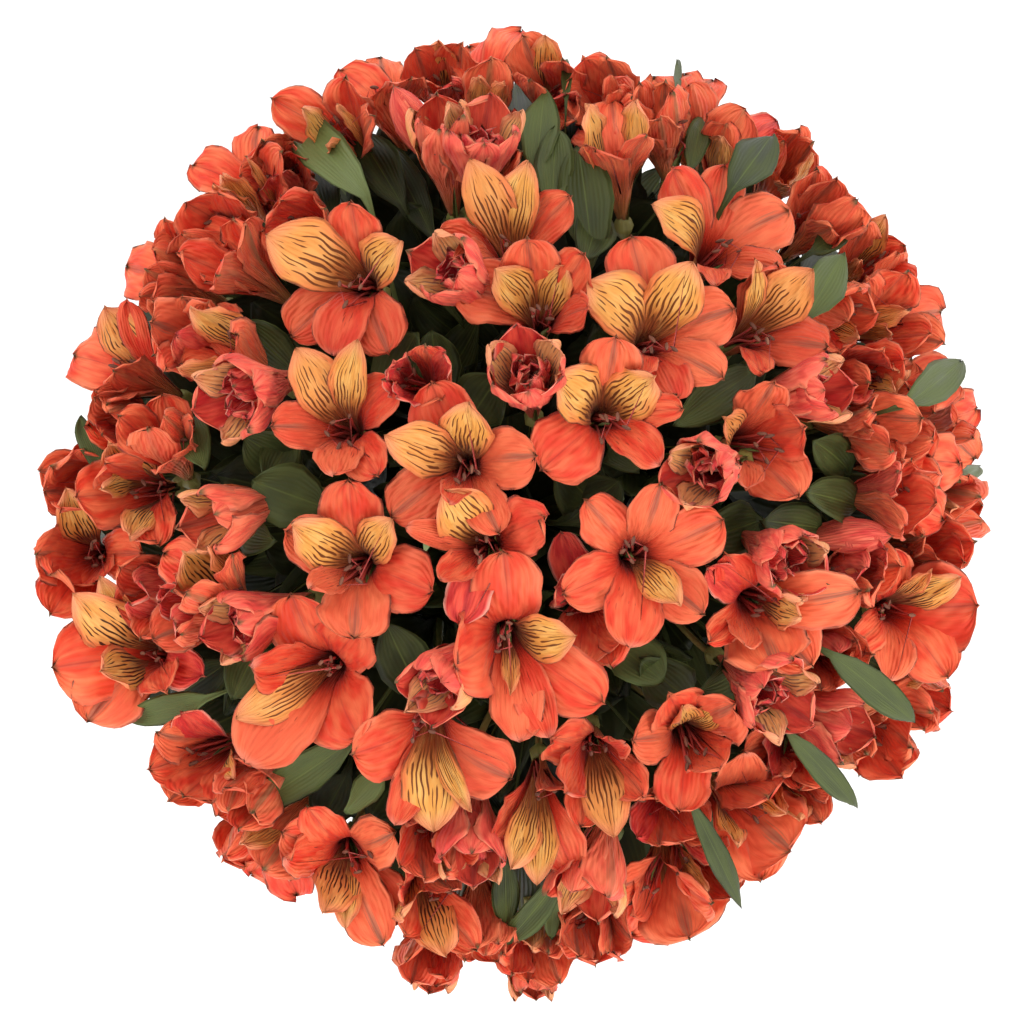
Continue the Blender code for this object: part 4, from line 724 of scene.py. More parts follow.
MATERIALS = {
    FRONT: petal_material("petal_coral", "outer"),
    BACK: petal_material("petal_back", "back"),
    YELLOW: petal_material("petal_golden", "yellow"),
    LOWER: petal_material("petal_lower", "lower"),
    GOLDBACK: petal_material("petal_golden_back", "gold_back"),
    STAMEN: plain_plant("filament_red", "#A03430", "#D05C50", "#E09080", 0.5, 1.0),
    ANTHER: plain_plant("anther_dark", "#5A362A", "#8C5C46", "#A8805C", 0.85, 2.0),
    STALK: plain_plant("flower_stalk", "#5C6B30", "#7E8A46", "#A2563A", 0.5, 1.2),
    LEAF: leaf_material(),
    STEM: plain_plant("stem_green", "#4E5C2A", "#74823F", "#8C6A3C", 0.45, 1.0),
    CUT: cut_material(),
    TWINE: twine_material(),
}

# ---------------------------------------------------------------- the florets that face the viewer
# name: throat in the top view, size, lift in mm, and its petals: kind (o outer, y golden inner, c coral inner,
# r crimson), tip in the top view, width in the same pixels
FACING = {
    "F01": ((361, 280), 1.0, 2, (("o", 349, 199, 50), ("y", 269, 237, 64), ("o", 287, 338, 54), ("c", 335, 358, 50), ("o", 388, 354, 54), ("y", 405, 243, 50))),
    "F02": ((345, 425), 1.0, 0, (("y", 297, 347, 48), ("y", 361, 341, 36), ("o", 395, 380, 46), ("o", 269, 425, 48), ("c", 335, 476, 44), ("o", 378, 476, 46))),
    "F03": ((463, 462), 1.0, 2, (("o", 430, 380, 60), ("y", 386, 436, 50), ("o", 388, 519, 54), ("c", 450, 504, 30), ("o", 500, 535, 42), ("o", 538, 455, 58), ("y", 471, 402, 52))),
    "F04": ((540, 312), 1.0, -1, (("o", 527, 235, 56), ("y", 495, 275, 44), ("o", 451, 280, 60), ("o", 590, 305, 40), ("o", 585, 250, 48), ("y", 567, 270, 36))),
    "F06": ((511, 252), 1.0, -5, (("y", 470, 164, 46), ("y", 530, 165, 40), ("o", 572, 192, 46), ("o", 436, 228, 36), ("c", 455, 264, 34))),
    "F07": ((650, 338), 1.0, 1, (("o", 632, 232, 64), ("y", 583, 284, 62), ("c", 643, 377, 24), ("o", 680, 398, 46), ("o", 727, 378, 48), ("o", 739, 306, 56), ("y", 690, 265, 54))),
    "F08": ((605, 413), 1.0, 5, (("o", 617, 334, 56), ("y", 554, 377, 56), ("o", 541, 471, 70), ("c", 660, 466, 40), ("o", 686, 408, 34), ("y", 653, 378, 50))),
    "F09": ((710, 253), 1.0, -2, (("o", 674, 163, 52), ("y", 648, 210, 46), ("o", 727, 160, 48), ("o", 793, 206, 62), ("o", 785, 268, 38), ("c", 715, 288, 30))),
    "F10": ((753, 330), 1.0, 1, (("y", 808, 273, 50), ("y", 751, 263, 24), ("o", 832, 345, 56), ("o", 780, 260, 46), ("o", 765, 372, 30))),
    "F11": ((747, 441), 1.0, 0, (("o", 777, 380, 48), ("y", 720, 418, 38), ("o", 808, 427, 56), ("o", 802, 499, 62), ("c", 745, 490, 34))),
    "F13": ((638, 559), 1.0, 3, (("o", 585, 499, 48), ("o", 664, 482, 46), ("o", 727, 519, 56), ("o", 562, 596, 50), ("y", 678, 604, 36), ("o", 707, 616, 52), ("c", 628, 648, 54))),
    "F14": ((512, 641), 1.08, 7, (("o", 503, 550, 66), ("o", 454, 668, 76), ("y", 575, 632, 46), ("o", 607, 706, 60), ("c", 520, 741, 50), ("c", 549, 737, 38), ("y", 510, 690, 18))),
    "F15": ((358, 562), 1.0, 2, (("o", 347, 478, 58), ("y", 295, 525, 50), ("o", 283, 530, 52), ("c", 312, 588, 32), ("o", 353, 640, 66), ("o", 434, 592, 62), ("y", 396, 519, 42))),
    "F16": ((484, 543), 1.0, 3, (("y", 447, 490, 56), ("o", 546, 516, 54), ("c", 406, 527, 26), ("c", 441, 580, 32), ("r", 458, 626, 44))),
    "F17": ((323, 671), 1.06, 1, (("o", 288, 594, 64), ("o", 357, 630, 62), ("o", 358, 742, 76), ("c", 247, 763, 72), ("y", 240, 716, 44), ("c", 254, 668, 50))),
    "F19": ((431, 731), 1.0, 3, (("o", 350, 758, 64), ("c", 395, 823, 34), ("y", 435, 826, 58), ("y", 473, 806, 20), ("o", 515, 783, 66))),
    "F20": ((597, 754), 0.95, 1, (("o", 552, 741, 54), ("c", 566, 790, 44), ("c", 625, 741, 28), ("o", 581, 831, 38), ("y", 613, 832, 46), ("o", 645, 800, 40))),
    "F21": ((540, 793), 0.95, -1, (("y", 511, 862, 36), ("y", 537, 878, 36), ("o", 575, 876, 46), ("o", 492, 842, 34), ("o", 566, 792, 36))),
    "F22": ((690, 735), 0.95, 2, (("o", 671, 695, 58), ("y", 680, 703, 34), ("o", 736, 706, 66), ("o", 632, 741, 52), ("o", 680, 815, 54), ("y", 722, 700, 24), ("c", 720, 768, 48))),
}
# ---------------------------------------------------------------- the florets that lean outwards
# name: foot of the tube in the top view, and the petals as above, each on the near or the far side of its floret,
# with the lift in mm for those that sit lower than the rest
LEANING = {
    "F23": ((708, 778), (("o", 792, 852, 84, "f"), ("y", 739, 846, 34, "n"), ("y", 786, 814, 22, "n"), ("o", 770, 800, 60, "n"), ("o", 762, 883, 66, "f"), ("c", 745, 752, 50, "n"))),
    "F25": ((662, 828), (("o", 630, 936, 64, "f"), ("o", 690, 940, 84, "n"), ("o", 612, 892, 44, "f"), ("o", 712, 905, 50, "f"), ("y", 668, 938, 40, "f"))),
    "F26": ((668, 820), (("o", 733, 897, 44, "n"), ("r", 724, 856, 34, "f"), ("y", 708, 892, 26, "n"), ("o", 735, 880, 40, "f"))),
    "F28": ((415, 858), (("y", 403, 918, 50, "n"), ("y", 446, 957, 52, "n"), ("o", 478, 952, 44, "f"), ("c", 452, 890, 38, "n"), ("o", 400, 885, 40, "n"))),
    "F30": ((352, 833), (("y", 325, 913, 56, "f"), ("y", 346, 929, 36, "f"), ("o", 280, 832, 56, "n"), ("o", 385, 948, 50, "f"), ("o", 402, 925, 56, "f"), ("o", 395, 832, 50, "n"), ("o", 306, 806, 40, "n"), ("c", 285, 858, 46, "f"))),
    "F31": ((322, 785), (("o", 262, 872, 56, "n"), ("o", 224, 857, 28, "n"), ("o", 250, 876, 44, "f"), ("o", 298, 898, 48, "f"), ("y", 240, 845, 40, "n"))),
    "F32": ((243, 735), (("o", 183, 797, 74, "n"), ("o", 147, 770, 50, "f"), ("o", 212, 805, 56, "f"), ("r", 180, 712, 40, "f"), ("y", 232, 778, 28, "n"), ("o", 168, 802, 44, "f"), ("o", 156, 732, 44, "f"))),
    "F33": ((176, 487), (("y", 108, 443, 56, "n"), ("y", 102, 489, 30, "n"), ("y", 130, 537, 42, "f"), ("o", 74, 497, 62, "f"), ("o", 105, 462, 56, "f"), ("o", 160, 547, 46, "f"))),
    "F36": ((258, 622), (("y", 184, 552, 60, "n"), ("o", 162, 552, 46, "f"), ("o", 232, 553, 32, "n"), ("o", 185, 592, 44, "f"), ("y", 208, 545, 34, "f"))),
    "F38": ((178, 656), (("y", 100, 671, 56, "n"), ("y", 172, 614, 36, "n"), ("y", 72, 593, 62, "f"), ("y", 98, 574, 38, "f"), ("o", 50, 668, 78, "f"), ("o", 86, 724, 66, "f"), ("r", 206, 676, 40, "n"), ("o", 166, 692, 46, "f"))),
    "F39": ((122, 480), (("o", 52, 468, 58, "f"), ("o", 44, 491, 50, "f"), ("o", 84, 450, 42, "f"), ("o", 60, 510, 50, "n"))),
    "F40": ((182, 398), (("y", 104, 306, 58, "n"), ("o", 72, 355, 56, "f"), ("o", 112, 370, 46, "n"), ("o", 94, 390, 40, "f"), ("o", 126, 298, 28, "f"), ("o", 106, 404, 36, "n"))),
    "F41": ((290, 386), (("y", 190, 308, 50, "n"), ("y", 176, 367, 36, "n"), ("o", 218, 306, 44, "f"), ("o", 196, 340, 44, "f"))),
    "F42": ((292, 303), (("o", 243, 222, 46, "n"), ("o", 176, 252, 48, "n"), ("o", 200, 230, 54, "f"), ("o", 215, 275, 40, "f"))),
    "F43": ((228, 306), (("o", 164, 217, 34, "f"), ("o", 151, 249, 52, "f"), ("o", 124, 266, 54, "f"), ("o", 143, 268, 42, "n"), ("o", 150, 300, 46, "n"), ("o", 138, 296, 38, "f"))),
    "F44": ((284, 234), (("o", 190, 164, 44, "f"), ("y", 222, 176, 34, "n"), ("y", 212, 185, 30, "n"), ("y", 247, 157, 14, "n"), ("o", 259, 124, 40, "f"), ("o", 281, 150, 48, "n"))),
    "F45": ((372, 176), (("o", 270, 97, 48, "f"), ("y", 303, 108, 36, "f"), ("y", 326, 146, 24, "n"), ("y", 337, 103, 14, "n"), ("o", 345, 76, 46, "f"), ("o", 372, 115, 38, "n"))),
    "F46": ((415, 165), (("o", 338, 68, 46, "f"), ("y", 372, 70, 44, "f"), ("o", 388, 83, 46, "n"), ("o", 380, 56, 38, "f"), ("o", 412, 76, 38, "f"))),
    "F47": ((452, 128), (("y", 438, 40, 40, "f"), ("o", 415, 48, 44, "f"), ("o", 462, 42, 46, "f"), ("c", 424, 80, 24, "n"), ("r", 452, 82, 36, "n"))),
    "F49": ((548, 122), (("y", 545, 35, 40, "f"), ("o", 522, 34, 48, "f"), ("o", 562, 60, 44, "f"), ("o", 530, 78, 42, "n"), ("r", 566, 92, 36, "n"), ("o", 577, 122, 36, "n"))),
    "F50": ((622, 150), (("o", 583, 57, 48, "f"), ("o", 612, 74, 34, "n"), ("o", 606, 58, 44, "f"), ("o", 562, 90, 44, "f"), ("o", 620, 88, 30, "f"))),
    "F51": ((623, 222), (("y", 588, 103, 50, "n"), ("y", 637, 99, 50, "n"), ("o", 648, 134, 28, "n"), ("o", 612, 98, 44, "f"), ("o", 578, 128, 40, "f"))),
    "F52": ((692, 180), (("o", 690, 82, 46, "n"), ("o", 652, 76, 44, "f"), ("o", 684, 72, 38, "f"), ("o", 714, 80, 42, "f"), ("y", 664, 115, 26, "n"))),
    "F53": ((710, 205), (("y", 722, 136, 40, "n"), ("o", 748, 110, 54, "f"), ("r", 778, 120, 34, "f"), ("o", 728, 122, 40, "f"))),
    "F54": ((752, 212), (("o", 786, 140, 38, "n"), ("y", 812, 152, 32, "f"), ("o", 800, 128, 40, "f"), ("o", 812, 142, 36, "f"), ("y", 790, 186, 24, "n"))),
    "F55": ((778, 262), (("o", 838, 178, 46, "n"), ("o", 818, 168, 44, "f"), ("o", 858, 198, 52, "f"), ("c", 832, 228, 34, "n"), ("o", 866, 225, 44, "f"))),
    "F56": ((828, 302), (("o", 868, 221, 38, "n"), ("y", 886, 216, 38, "f"), ("o", 899, 252, 42, "f"), ("y", 860, 260, 22, "n"), ("o", 918, 285, 46, "f"))),
    "F57": ((836, 337), (("o", 909, 272, 54, "f"), ("o", 943, 311, 58, "f"), ("y", 908, 310, 28, "n"), ("y", 893, 335, 22, "n"), ("o", 932, 334, 42, "n"), ("o", 946, 344, 46, "f"), ("o", 868, 277, 36, "n"))),
    "F59": ((848, 414), (("y", 902, 370, 50, "n"), ("o", 915, 388, 48, "f"), ("o", 958, 372, 52, "f"), ("o", 925, 418, 38, "n"))),
    "F60": ((842, 462), (("o", 905, 460, 36, "n"), ("o", 935, 440, 52, "f"), ("c", 938, 472, 52, "n"), ("o", 962, 462, 52, "f"))),
    "F61": ((872, 415), (("o", 978, 408, 46, "f"), ("o", 957, 425, 46, "n"), ("o", 975, 438, 46, "n"), ("o", 950, 397, 44, "f"), ("o", 976, 460, 42, "f"))),
    "F62": ((828, 495), (("o", 938, 503, 54, "n"), ("c", 930, 462, 44, "f"), ("o", 905, 528, 44, "n"), ("r", 900, 470, 34, "n"), ("o", 945, 520, 50, "f"))),
    "F63": ((882, 512), (("o", 982, 498, 58, "f"), ("y", 958, 508, 30, "n"), ("o", 984, 520, 54, "f"), ("o", 970, 475, 44, "f"), ("o", 960, 535, 50, "n"))),
    "F66": ((741, 592), (("y", 801, 617, 44, "n"), ("o", 777, 669, 74, "f"), ("o", 708, 643, 30, "n"), ("o", 864, 590, 56, "f"), ("o", 815, 668, 60, "f"), ("c", 745, 645, 36, "n"), ("r", 706, 566, 34, "f"), ("o", 724, 552, 40, "f"))),
    "F67": ((872, 606), (("y", 962, 577, 40, "n"), ("y", 932, 571, 24, "n"), ("o", 888, 545, 40, "f"), ("o", 980, 605, 86, "f"), ("o", 950, 680, 58, "f"), ("o", 852, 648, 34, "n"), ("c", 888, 682, 46, "f"))),
    "F68": ((868, 668), (("o", 934, 712, 60, "f"), ("y", 930, 681, 28, "n"), ("o", 925, 730, 54, "f"), ("o", 944, 692, 38, "f"))),
    "F69": ((842, 702), (("o", 903, 777, 60, "n"), ("o", 910, 748, 52, "f"), ("o", 868, 756, 38, "f"), ("o", 885, 720, 44, "n"))),
    "F72": ((765, 748), (("o", 833, 790, 38, "n"), ("o", 832, 788, 38, "f"), ("y", 800, 820, 54, "n"), ("y", 785, 815, 24, "f"), ("o", 822, 824, 46, "f"), ("c", 782, 775, 32, "n"))),
    "F74": ((108, 553), (("y", 66, 488, 46, "n"), ("o", 35, 555, 56, "f"), ("o", 145, 552, 46, "n"), ("o", 51, 574, 60, "n"), ("o", 50, 616, 58, "f"))),
    "F78": ((428, 392), (("r", 395, 362, 30, "n"), ("r", 445, 352, 34, "n"), ("r", 398, 395, 30, "n"), ("o", 425, 345, 34, "n"), ("r", 384, 380, 26, "n"))),
    "F79": ((482, 155), (("o", 492, 54, 46, "n"), ("o", 468, 44, 46, "f"), ("r", 490, 38, 38, "f"), ("o", 518, 60, 44, "f"), ("y", 478, 76, 28, "n"), ("y", 505, 82, 24, "n"))),
    "F80": ((668, 182), (("o", 660, 115, 36, "n"), ("o", 640, 82, 36, "f"), ("o", 672, 90, 44, "f"), ("o", 632, 95, 36, "f"))),
    "F81": ((812, 422), (("o", 924, 418, 50, "n"), ("o", 874, 431, 18, "n"), ("o", 925, 440, 52, "f"), ("o", 895, 452, 46, "n"))),
    "F82": ((880, 545), (("o", 976, 542, 48, "f"), ("o", 945, 562, 38, "n"), ("o", 965, 562, 52, "f"), ("o", 925, 535, 34, "n"))),
    "F84": ((592, 878), (("o", 578, 958, 48, "f"), ("o", 632, 940, 52, "f"), ("o", 558, 945, 52, "f"), ("o", 606, 955, 48, "f"))),
    "F85": ((532, 900), (("o", 503, 955, 46, "f"), ("o", 560, 984, 44, "f"), ("o", 548, 955, 40, "n"), ("o", 512, 975, 40, "f"), ("y", 532, 950, 44, "n"))),
    "F86": ((440, 900), (("o", 446, 980, 38, "f"), ("o", 406, 962, 44, "n"), ("o", 468, 948, 36, "f"), ("o", 412, 984, 44, "f"))),
    "F87": ((478, 862), (("o", 484, 958, 34, "n"), ("o", 466, 962, 36, "f"), ("o", 498, 945, 38, "n"), ("o", 478, 950, 44, "f"))),
    "F88": ((432, 790), (("o", 448, 872, 48, "n"), ("o", 425, 880, 44, "f"), ("o", 480, 852, 46, "f"), ("o", 400, 868, 44, "f"))),
    "F89": ((290, 748), (("o", 222, 792, 42, "n"), ("o", 238, 830, 42, "f"), ("o", 250, 815, 48, "n"), ("o", 228, 812, 38, "f"))),
    "F91": ((190, 478), (("o", 163, 415, 32, "n"), ("o", 190, 420, 32, "n"), ("o", 148, 425, 46, "f"), ("o", 118, 415, 44, "f"))),
    "F92": ((238, 612), (("r", 158, 603, 36, "f"), ("r", 172, 620, 38, "n"), ("r", 160, 588, 34, "f"), ("o", 180, 635, 34, "f"))),
    "F93": ((235, 352), (("o", 150, 322, 58, "f"), ("o", 165, 370, 46, "f"), ("o", 208, 303, 46, "f"), ("r", 175, 335, 44, "n"))),
    "F95": ((585, 592), (("r", 560, 530, 36, "f"), ("o", 612, 668, 62, "n"), ("o", 578, 668, 54, "n"), ("r", 556, 588, 36, "f"), ("o", 628, 640, 44, "f")), -14),
    "F96": ((668, 776), (("r", 638, 838, 40, "n"), ("o", 660, 846, 44, "n"), ("o", 702, 836, 44, "f"), ("o", 655, 800, 40, "f"), ("o", 690, 800, 40, "n")), -8),
    "F97": ((826, 374), (("o", 884, 350, 46, "n"), ("o", 906, 360, 44, "f"), ("r", 852, 400, 44, "n"), ("o", 872, 382, 44, "n"), ("y", 896, 392, 40, "f")), -6),
    "F98": ((822, 566), (("r", 887, 550, 40, "n"), ("o", 884, 580, 46, "f"), ("r", 868, 568, 40, "f"), ("o", 872, 590, 40, "n")), -10),
    "F99": ((205, 592), (("r", 128, 602, 36, "n"), ("o", 118, 566, 46, "f"), ("o", 140, 640, 40, "f"), ("r", 135, 582, 36, "f")), -8),
    "F100": ((300, 196), (("o", 262, 140, 46, "n"), ("o", 306, 160, 40, "n"), ("o", 240, 176, 44, "f"), ("r", 272, 176, 40, "n")), -8),
    "F101": ((470, 212), (("o", 512, 110, 44, "f"), ("r", 470, 130, 40, "f"), ("o", 520, 150, 40, "n"), ("o", 446, 150, 40, "n")), -10),
    "F102": ((790, 720), (("o", 742, 752, 44, "f"), ("o", 826, 782, 48, "n"), ("o", 800, 790, 46, "f"), ("r", 770, 770, 40, "n"), ("o", 838, 754, 38, "f")), -8),
    "F103": ((262, 800), (("o", 230, 852, 42, "f"), ("o", 244, 868, 44, "n"), ("o", 270, 872, 44, "f"), ("o", 234, 824, 36, "n")), -8),
    "F104": ((795, 290), (("o", 850, 322, 48, "n"), ("o", 862, 290, 44, "f"), ("y", 858, 338, 30, "n"), ("o", 842, 352, 44, "f")), -10),
    "F105": ((806, 640), (("o", 858, 640, 46, "f"), ("o", 850, 672, 46, "f"), ("o", 822, 690, 40, "n"), ("r", 840, 655, 40, "n")), -10),
    "F106": ((342, 240), (("o", 280, 200, 44, "f"), ("o", 300, 240, 44, "n"), ("o", 262, 232, 44, "f")), -10),
    "F107": ((160, 422), (("o", 94, 398, 46, "f"), ("o", 102, 434, 44, "f"), ("o", 122, 440, 40, "n"), ("o", 108, 412, 40, "n")), -4),
    "F94": ((268, 262), (("o", 185, 203, 64, "f"), ("o", 181, 232, 60, "f"), ("o", 218, 190, 50, "f"), ("o", 190, 262, 46, "n"))),
}
# ---------------------------------------------------------------- half open florets and buds
# name, mouth in the top view, lean, its direction, spread, how far open, turn, lift in mm, how double
SIDE = (
    ("F05", 525, 360, 24, 100, 92, 0.45, 0, 9, 2),
    ("F12", 694, 474, 24, 196, 84, 0.30, 0, 9, 1),
    ("F18", 425, 695, 44, 220, 84, 0.30, 60, 10, 1),
    ("F24", 584, 905, 62, 255, 92, 0.40, 30, 6, 0),
    ("F27", 432, 984, 66, 262, 48, 0.30, 0, 3, 0),
    ("F29", 472, 868, 48, 268, 74, 0.35, 0, 7, 1),
    ("F34", 200, 522, 48, 196, 76, 0.30, 0, 7, 0),
    ("F35", 222, 402, 40, 200, 100, 0.45, 0, 7, 2),
    ("F37", 222, 630, 46, 200, 82, 0.35, 0, 5, 1),
    ("F58", 838, 388, 52, 8, 76, 0.30, 0, 5, 1),
    ("F64", 888, 536, 66, 0, 50, 0, 0, -6, 0),
    ("F65", 802, 568, 30, -30, 84, 0.34, 0, 9, 1),
    ("F70", 780, 700, 36, -34, 100, 0.50, 0, 6, 2),
    ("F71", 862, 735, 62, -22, 84, 0.30, 0, 4, 1),
    ("F73", 536, 992, 66, 272, 48, 0.30, 0, 3, 0),
    ("F76", 440, 114, 50, 98, 66, 0.30, 0, 3, 0),
    ("F75", 396, 90, 66, 118, 60, 0, 0, 4, 0),
    ("F83", 484, 118, 46, 84, 92, 0.45, 0, 5, 2),
    ("F77", 436, 262, 40, 150, 84, 0.35, 0, 2, 1),
)
# leaves that show: tip and foot of the blade in the top view, their depths as shares of the mouths' radius,
# width in mm, lightness (painted light above nought, painted shade below it), twist, how blunt
LEAVES = (
    (80, 416, 104, 470, 1.01, 0.93, 9, 0.30, 0.1, 0.5), (282, 112, 366, 196, 0.99, 0.92, 17, 0.80, 0.1, 0.3),
    (354, 128, 402, 205, 0.90, 0.80, 16, -0.2, -0.2, 0.6), (386, 146, 432, 235, 0.84, 0.76, 13, -0.2, 0.2, 0.5),
    (545, 90, 536, 172, 0.97, 0.88, 14, 0.45, 0.2, 0.0), (567, 58, 566, 100, 1.0, 0.97, 4, 0.2, 0.0, 0.0),
    (556, 128, 552, 205, 0.93, 0.86, 14, 0.35, 0.1, 0.4), (578, 146, 592, 256, 0.92, 0.82, 22, 0.20, 0.0, 0.7),
    (702, 117, 690, 168, 0.96, 0.90, 9, 0.35, 0.0, 0.2), (772, 136, 732, 190, 1.03, 1.0, 16, 0.10, 0.1, 0.0),
    (843, 253, 806, 316, 1.02, 0.98, 15, 0.50, -0.1, 0.0), (848, 230, 812, 252, 0.96, 0.90, 9, 0.15, 0.1, 0.3),
    (961, 361, 906, 404, 1.04, 1.02, 14, 0.45, 0.1, 0.1), (915, 723, 832, 655, 1.08, 1.03, 12, 0.34, 0.1, 0.0),
    (857, 808, 790, 734, 1.07, 1.03, 9, 0.30, -0.1, 0.0), (742, 908, 692, 804, 1.07, 1.02, 8, 0.20, 0.1, 0.0),
    (253, 806, 350, 742, 0.93, 0.84, 15, 0.50, 0.1, 0.3), (128, 718, 206, 698, 1.0, 0.92, 11, 0.70, 0.1, 0.2),
    (500, 948, 566, 868, 0.98, 0.90, 11, 0.25, 0.4, 0.2), (506, 925, 506, 858, 0.95, 0.88, 10, 0.05, 0.0, 0.4),
    (550, 938, 556, 875, 0.97, 0.88, 8, 0.45, 0.3, 0.3),
    (979, 467, 950, 480, 1.0, 0.98, 6, 0.5, 0.1, 0.2), (677, 60, 676, 100, 1.0, 0.97, 3, 0.3, 0.1, 0.0),
    (418, 332, 385, 398, 0.86, 0.72, 22, 0.20, 0.3, 0.8), (432, 330, 440, 400, 0.84, 0.72, 20, 0.05, -0.2, 0.8),
    (664, 682, 612, 640, 0.90, 0.80, 22, 0.40, 0.4, 0.6), (640, 660, 690, 700, 0.88, 0.80, 22, 0.10, 0.1, 0.8),
    (672, 426, 752, 372, 0.90, 0.80, 16, 0.35, 0.1, 0.3), (500, 376, 470, 420, 0.88, 0.78, 24, 0.10, 0.2, 0.9),
    (252, 480, 322, 506, 0.93, 0.82, 26, 0.30, 0.2, 0.9), (204, 470, 190, 414, 0.95, 0.88, 12, 0.50, 0.4, 0.4),
    (244, 436, 300, 470, 0.92, 0.80, 22, 0.15, 0.2, 0.9), (266, 486, 292, 436, 0.90, 0.82, 14, 0.25, 0.3, 0.5),
    (242, 322, 296, 372, 0.92, 0.82, 18, 0.15, 0.2, 0.8), (276, 540, 236, 528, 0.90, 0.84, 18, 0.20, -0.1, 0.8),
    (232, 700, 262, 640, 0.94, 0.84, 18, 0.20, 0.3, 0.6), (386, 622, 420, 690, 0.86, 0.76, 22, 0.05, -0.2, 0.8),
    (344, 812, 380, 772, 0.94, 0.86, 13, 0.75, 0.9, 0.5), (700, 540, 760, 520, 0.88, 0.78, 22, 0.10, 0.1, 0.8),
    (812, 440, 848, 470, 0.93, 0.84, 16, 0.15, 0.1, 0.7), (806, 492, 856, 506, 0.93, 0.84, 16, 0.15, -0.1, 0.7),
    (762, 520, 820, 528, 0.90, 0.82, 18, 0.08, 0.1, 0.7), (604, 850, 612, 812, 0.92, 0.86, 10, 0.30, 0.1, 0.5),
    (640, 470, 612, 446, 0.86, 0.76, 16, 0.25, 0.3, 0.6), (560, 470, 590, 500, 0.82, 0.72, 24, 0.05, 0.0, 0.9),
    (620, 480, 570, 520, 0.80, 0.70, 24, 0.02, 0.0, 0.9), (700, 690, 742, 668, 0.88, 0.80, 18, 0.15, 0.2, 0.8),
    (430, 250, 446, 300, 0.88, 0.78, 20, 0.10, 0.2, 0.8), (586, 260, 600, 210, 0.86, 0.80, 16, 0.10, 0.2, 0.8),
    (520, 920, 520, 850, 0.84, 0.76, 22, -0.3, 0.0, 0.8), (455, 912, 470, 856, 0.84, 0.78, 20, -0.3, 0.1, 0.8),
    (322, 820, 346, 776, 0.84, 0.76, 20, -0.3, 0.1, 0.8), (312, 168, 330, 222, 0.86, 0.78, 20, -0.3, 0.1, 0.8),
    (572, 108, 575, 170, 0.90, 0.82, 18, -0.3, 0.0, 0.8), (514, 84, 520, 140, 0.90, 0.82, 18, -0.3, 0.0, 0.8),
    (836, 250, 800, 290, 0.88, 0.80, 20, -0.3, 0.1, 0.8), (760, 178, 738, 214, 0.88, 0.80, 18, -0.3, 0.1, 0.8),
    (140, 306, 182, 334, 0.86, 0.80, 20, -0.3, 0.1, 0.8), (172, 700, 226, 664, 0.88, 0.80, 20, -0.2, 0.1, 0.8),
    (98, 534, 150, 528, 0.88, 0.80, 20, -0.3, 0.1, 0.8),
)


def stem_of(point):
    direction = unit(point - CENTRE)
    return max(range(len(HEADS)), key=lambda i: HEADS[i] @ direction)


def stalk(mesh, stem, base, axis, seed):
    """The flower stalk from a stem's hub to a floret's base, closing inside the ovary."""
    hub = CENTRE + HEADS[stem] * HUB_R
    aim = unit(base - hub)
    start = hub + aim * 0.0015
    reach = np.linalg.norm(base - start)
    end = base - axis * 0.004
    path = bezier(start, start + aim * reach * 0.35, end - axis * reach * 0.28, end, 12)
    width = np.interp(np.linspace(0, 1, 13), (0, 0.15, 0.9, 1), (0.0017, 0.0013, 0.0012, 0.0015))
    tube(mesh, path, width, 8, STALK, seed, np.linspace(0.0, 0.45, 13))


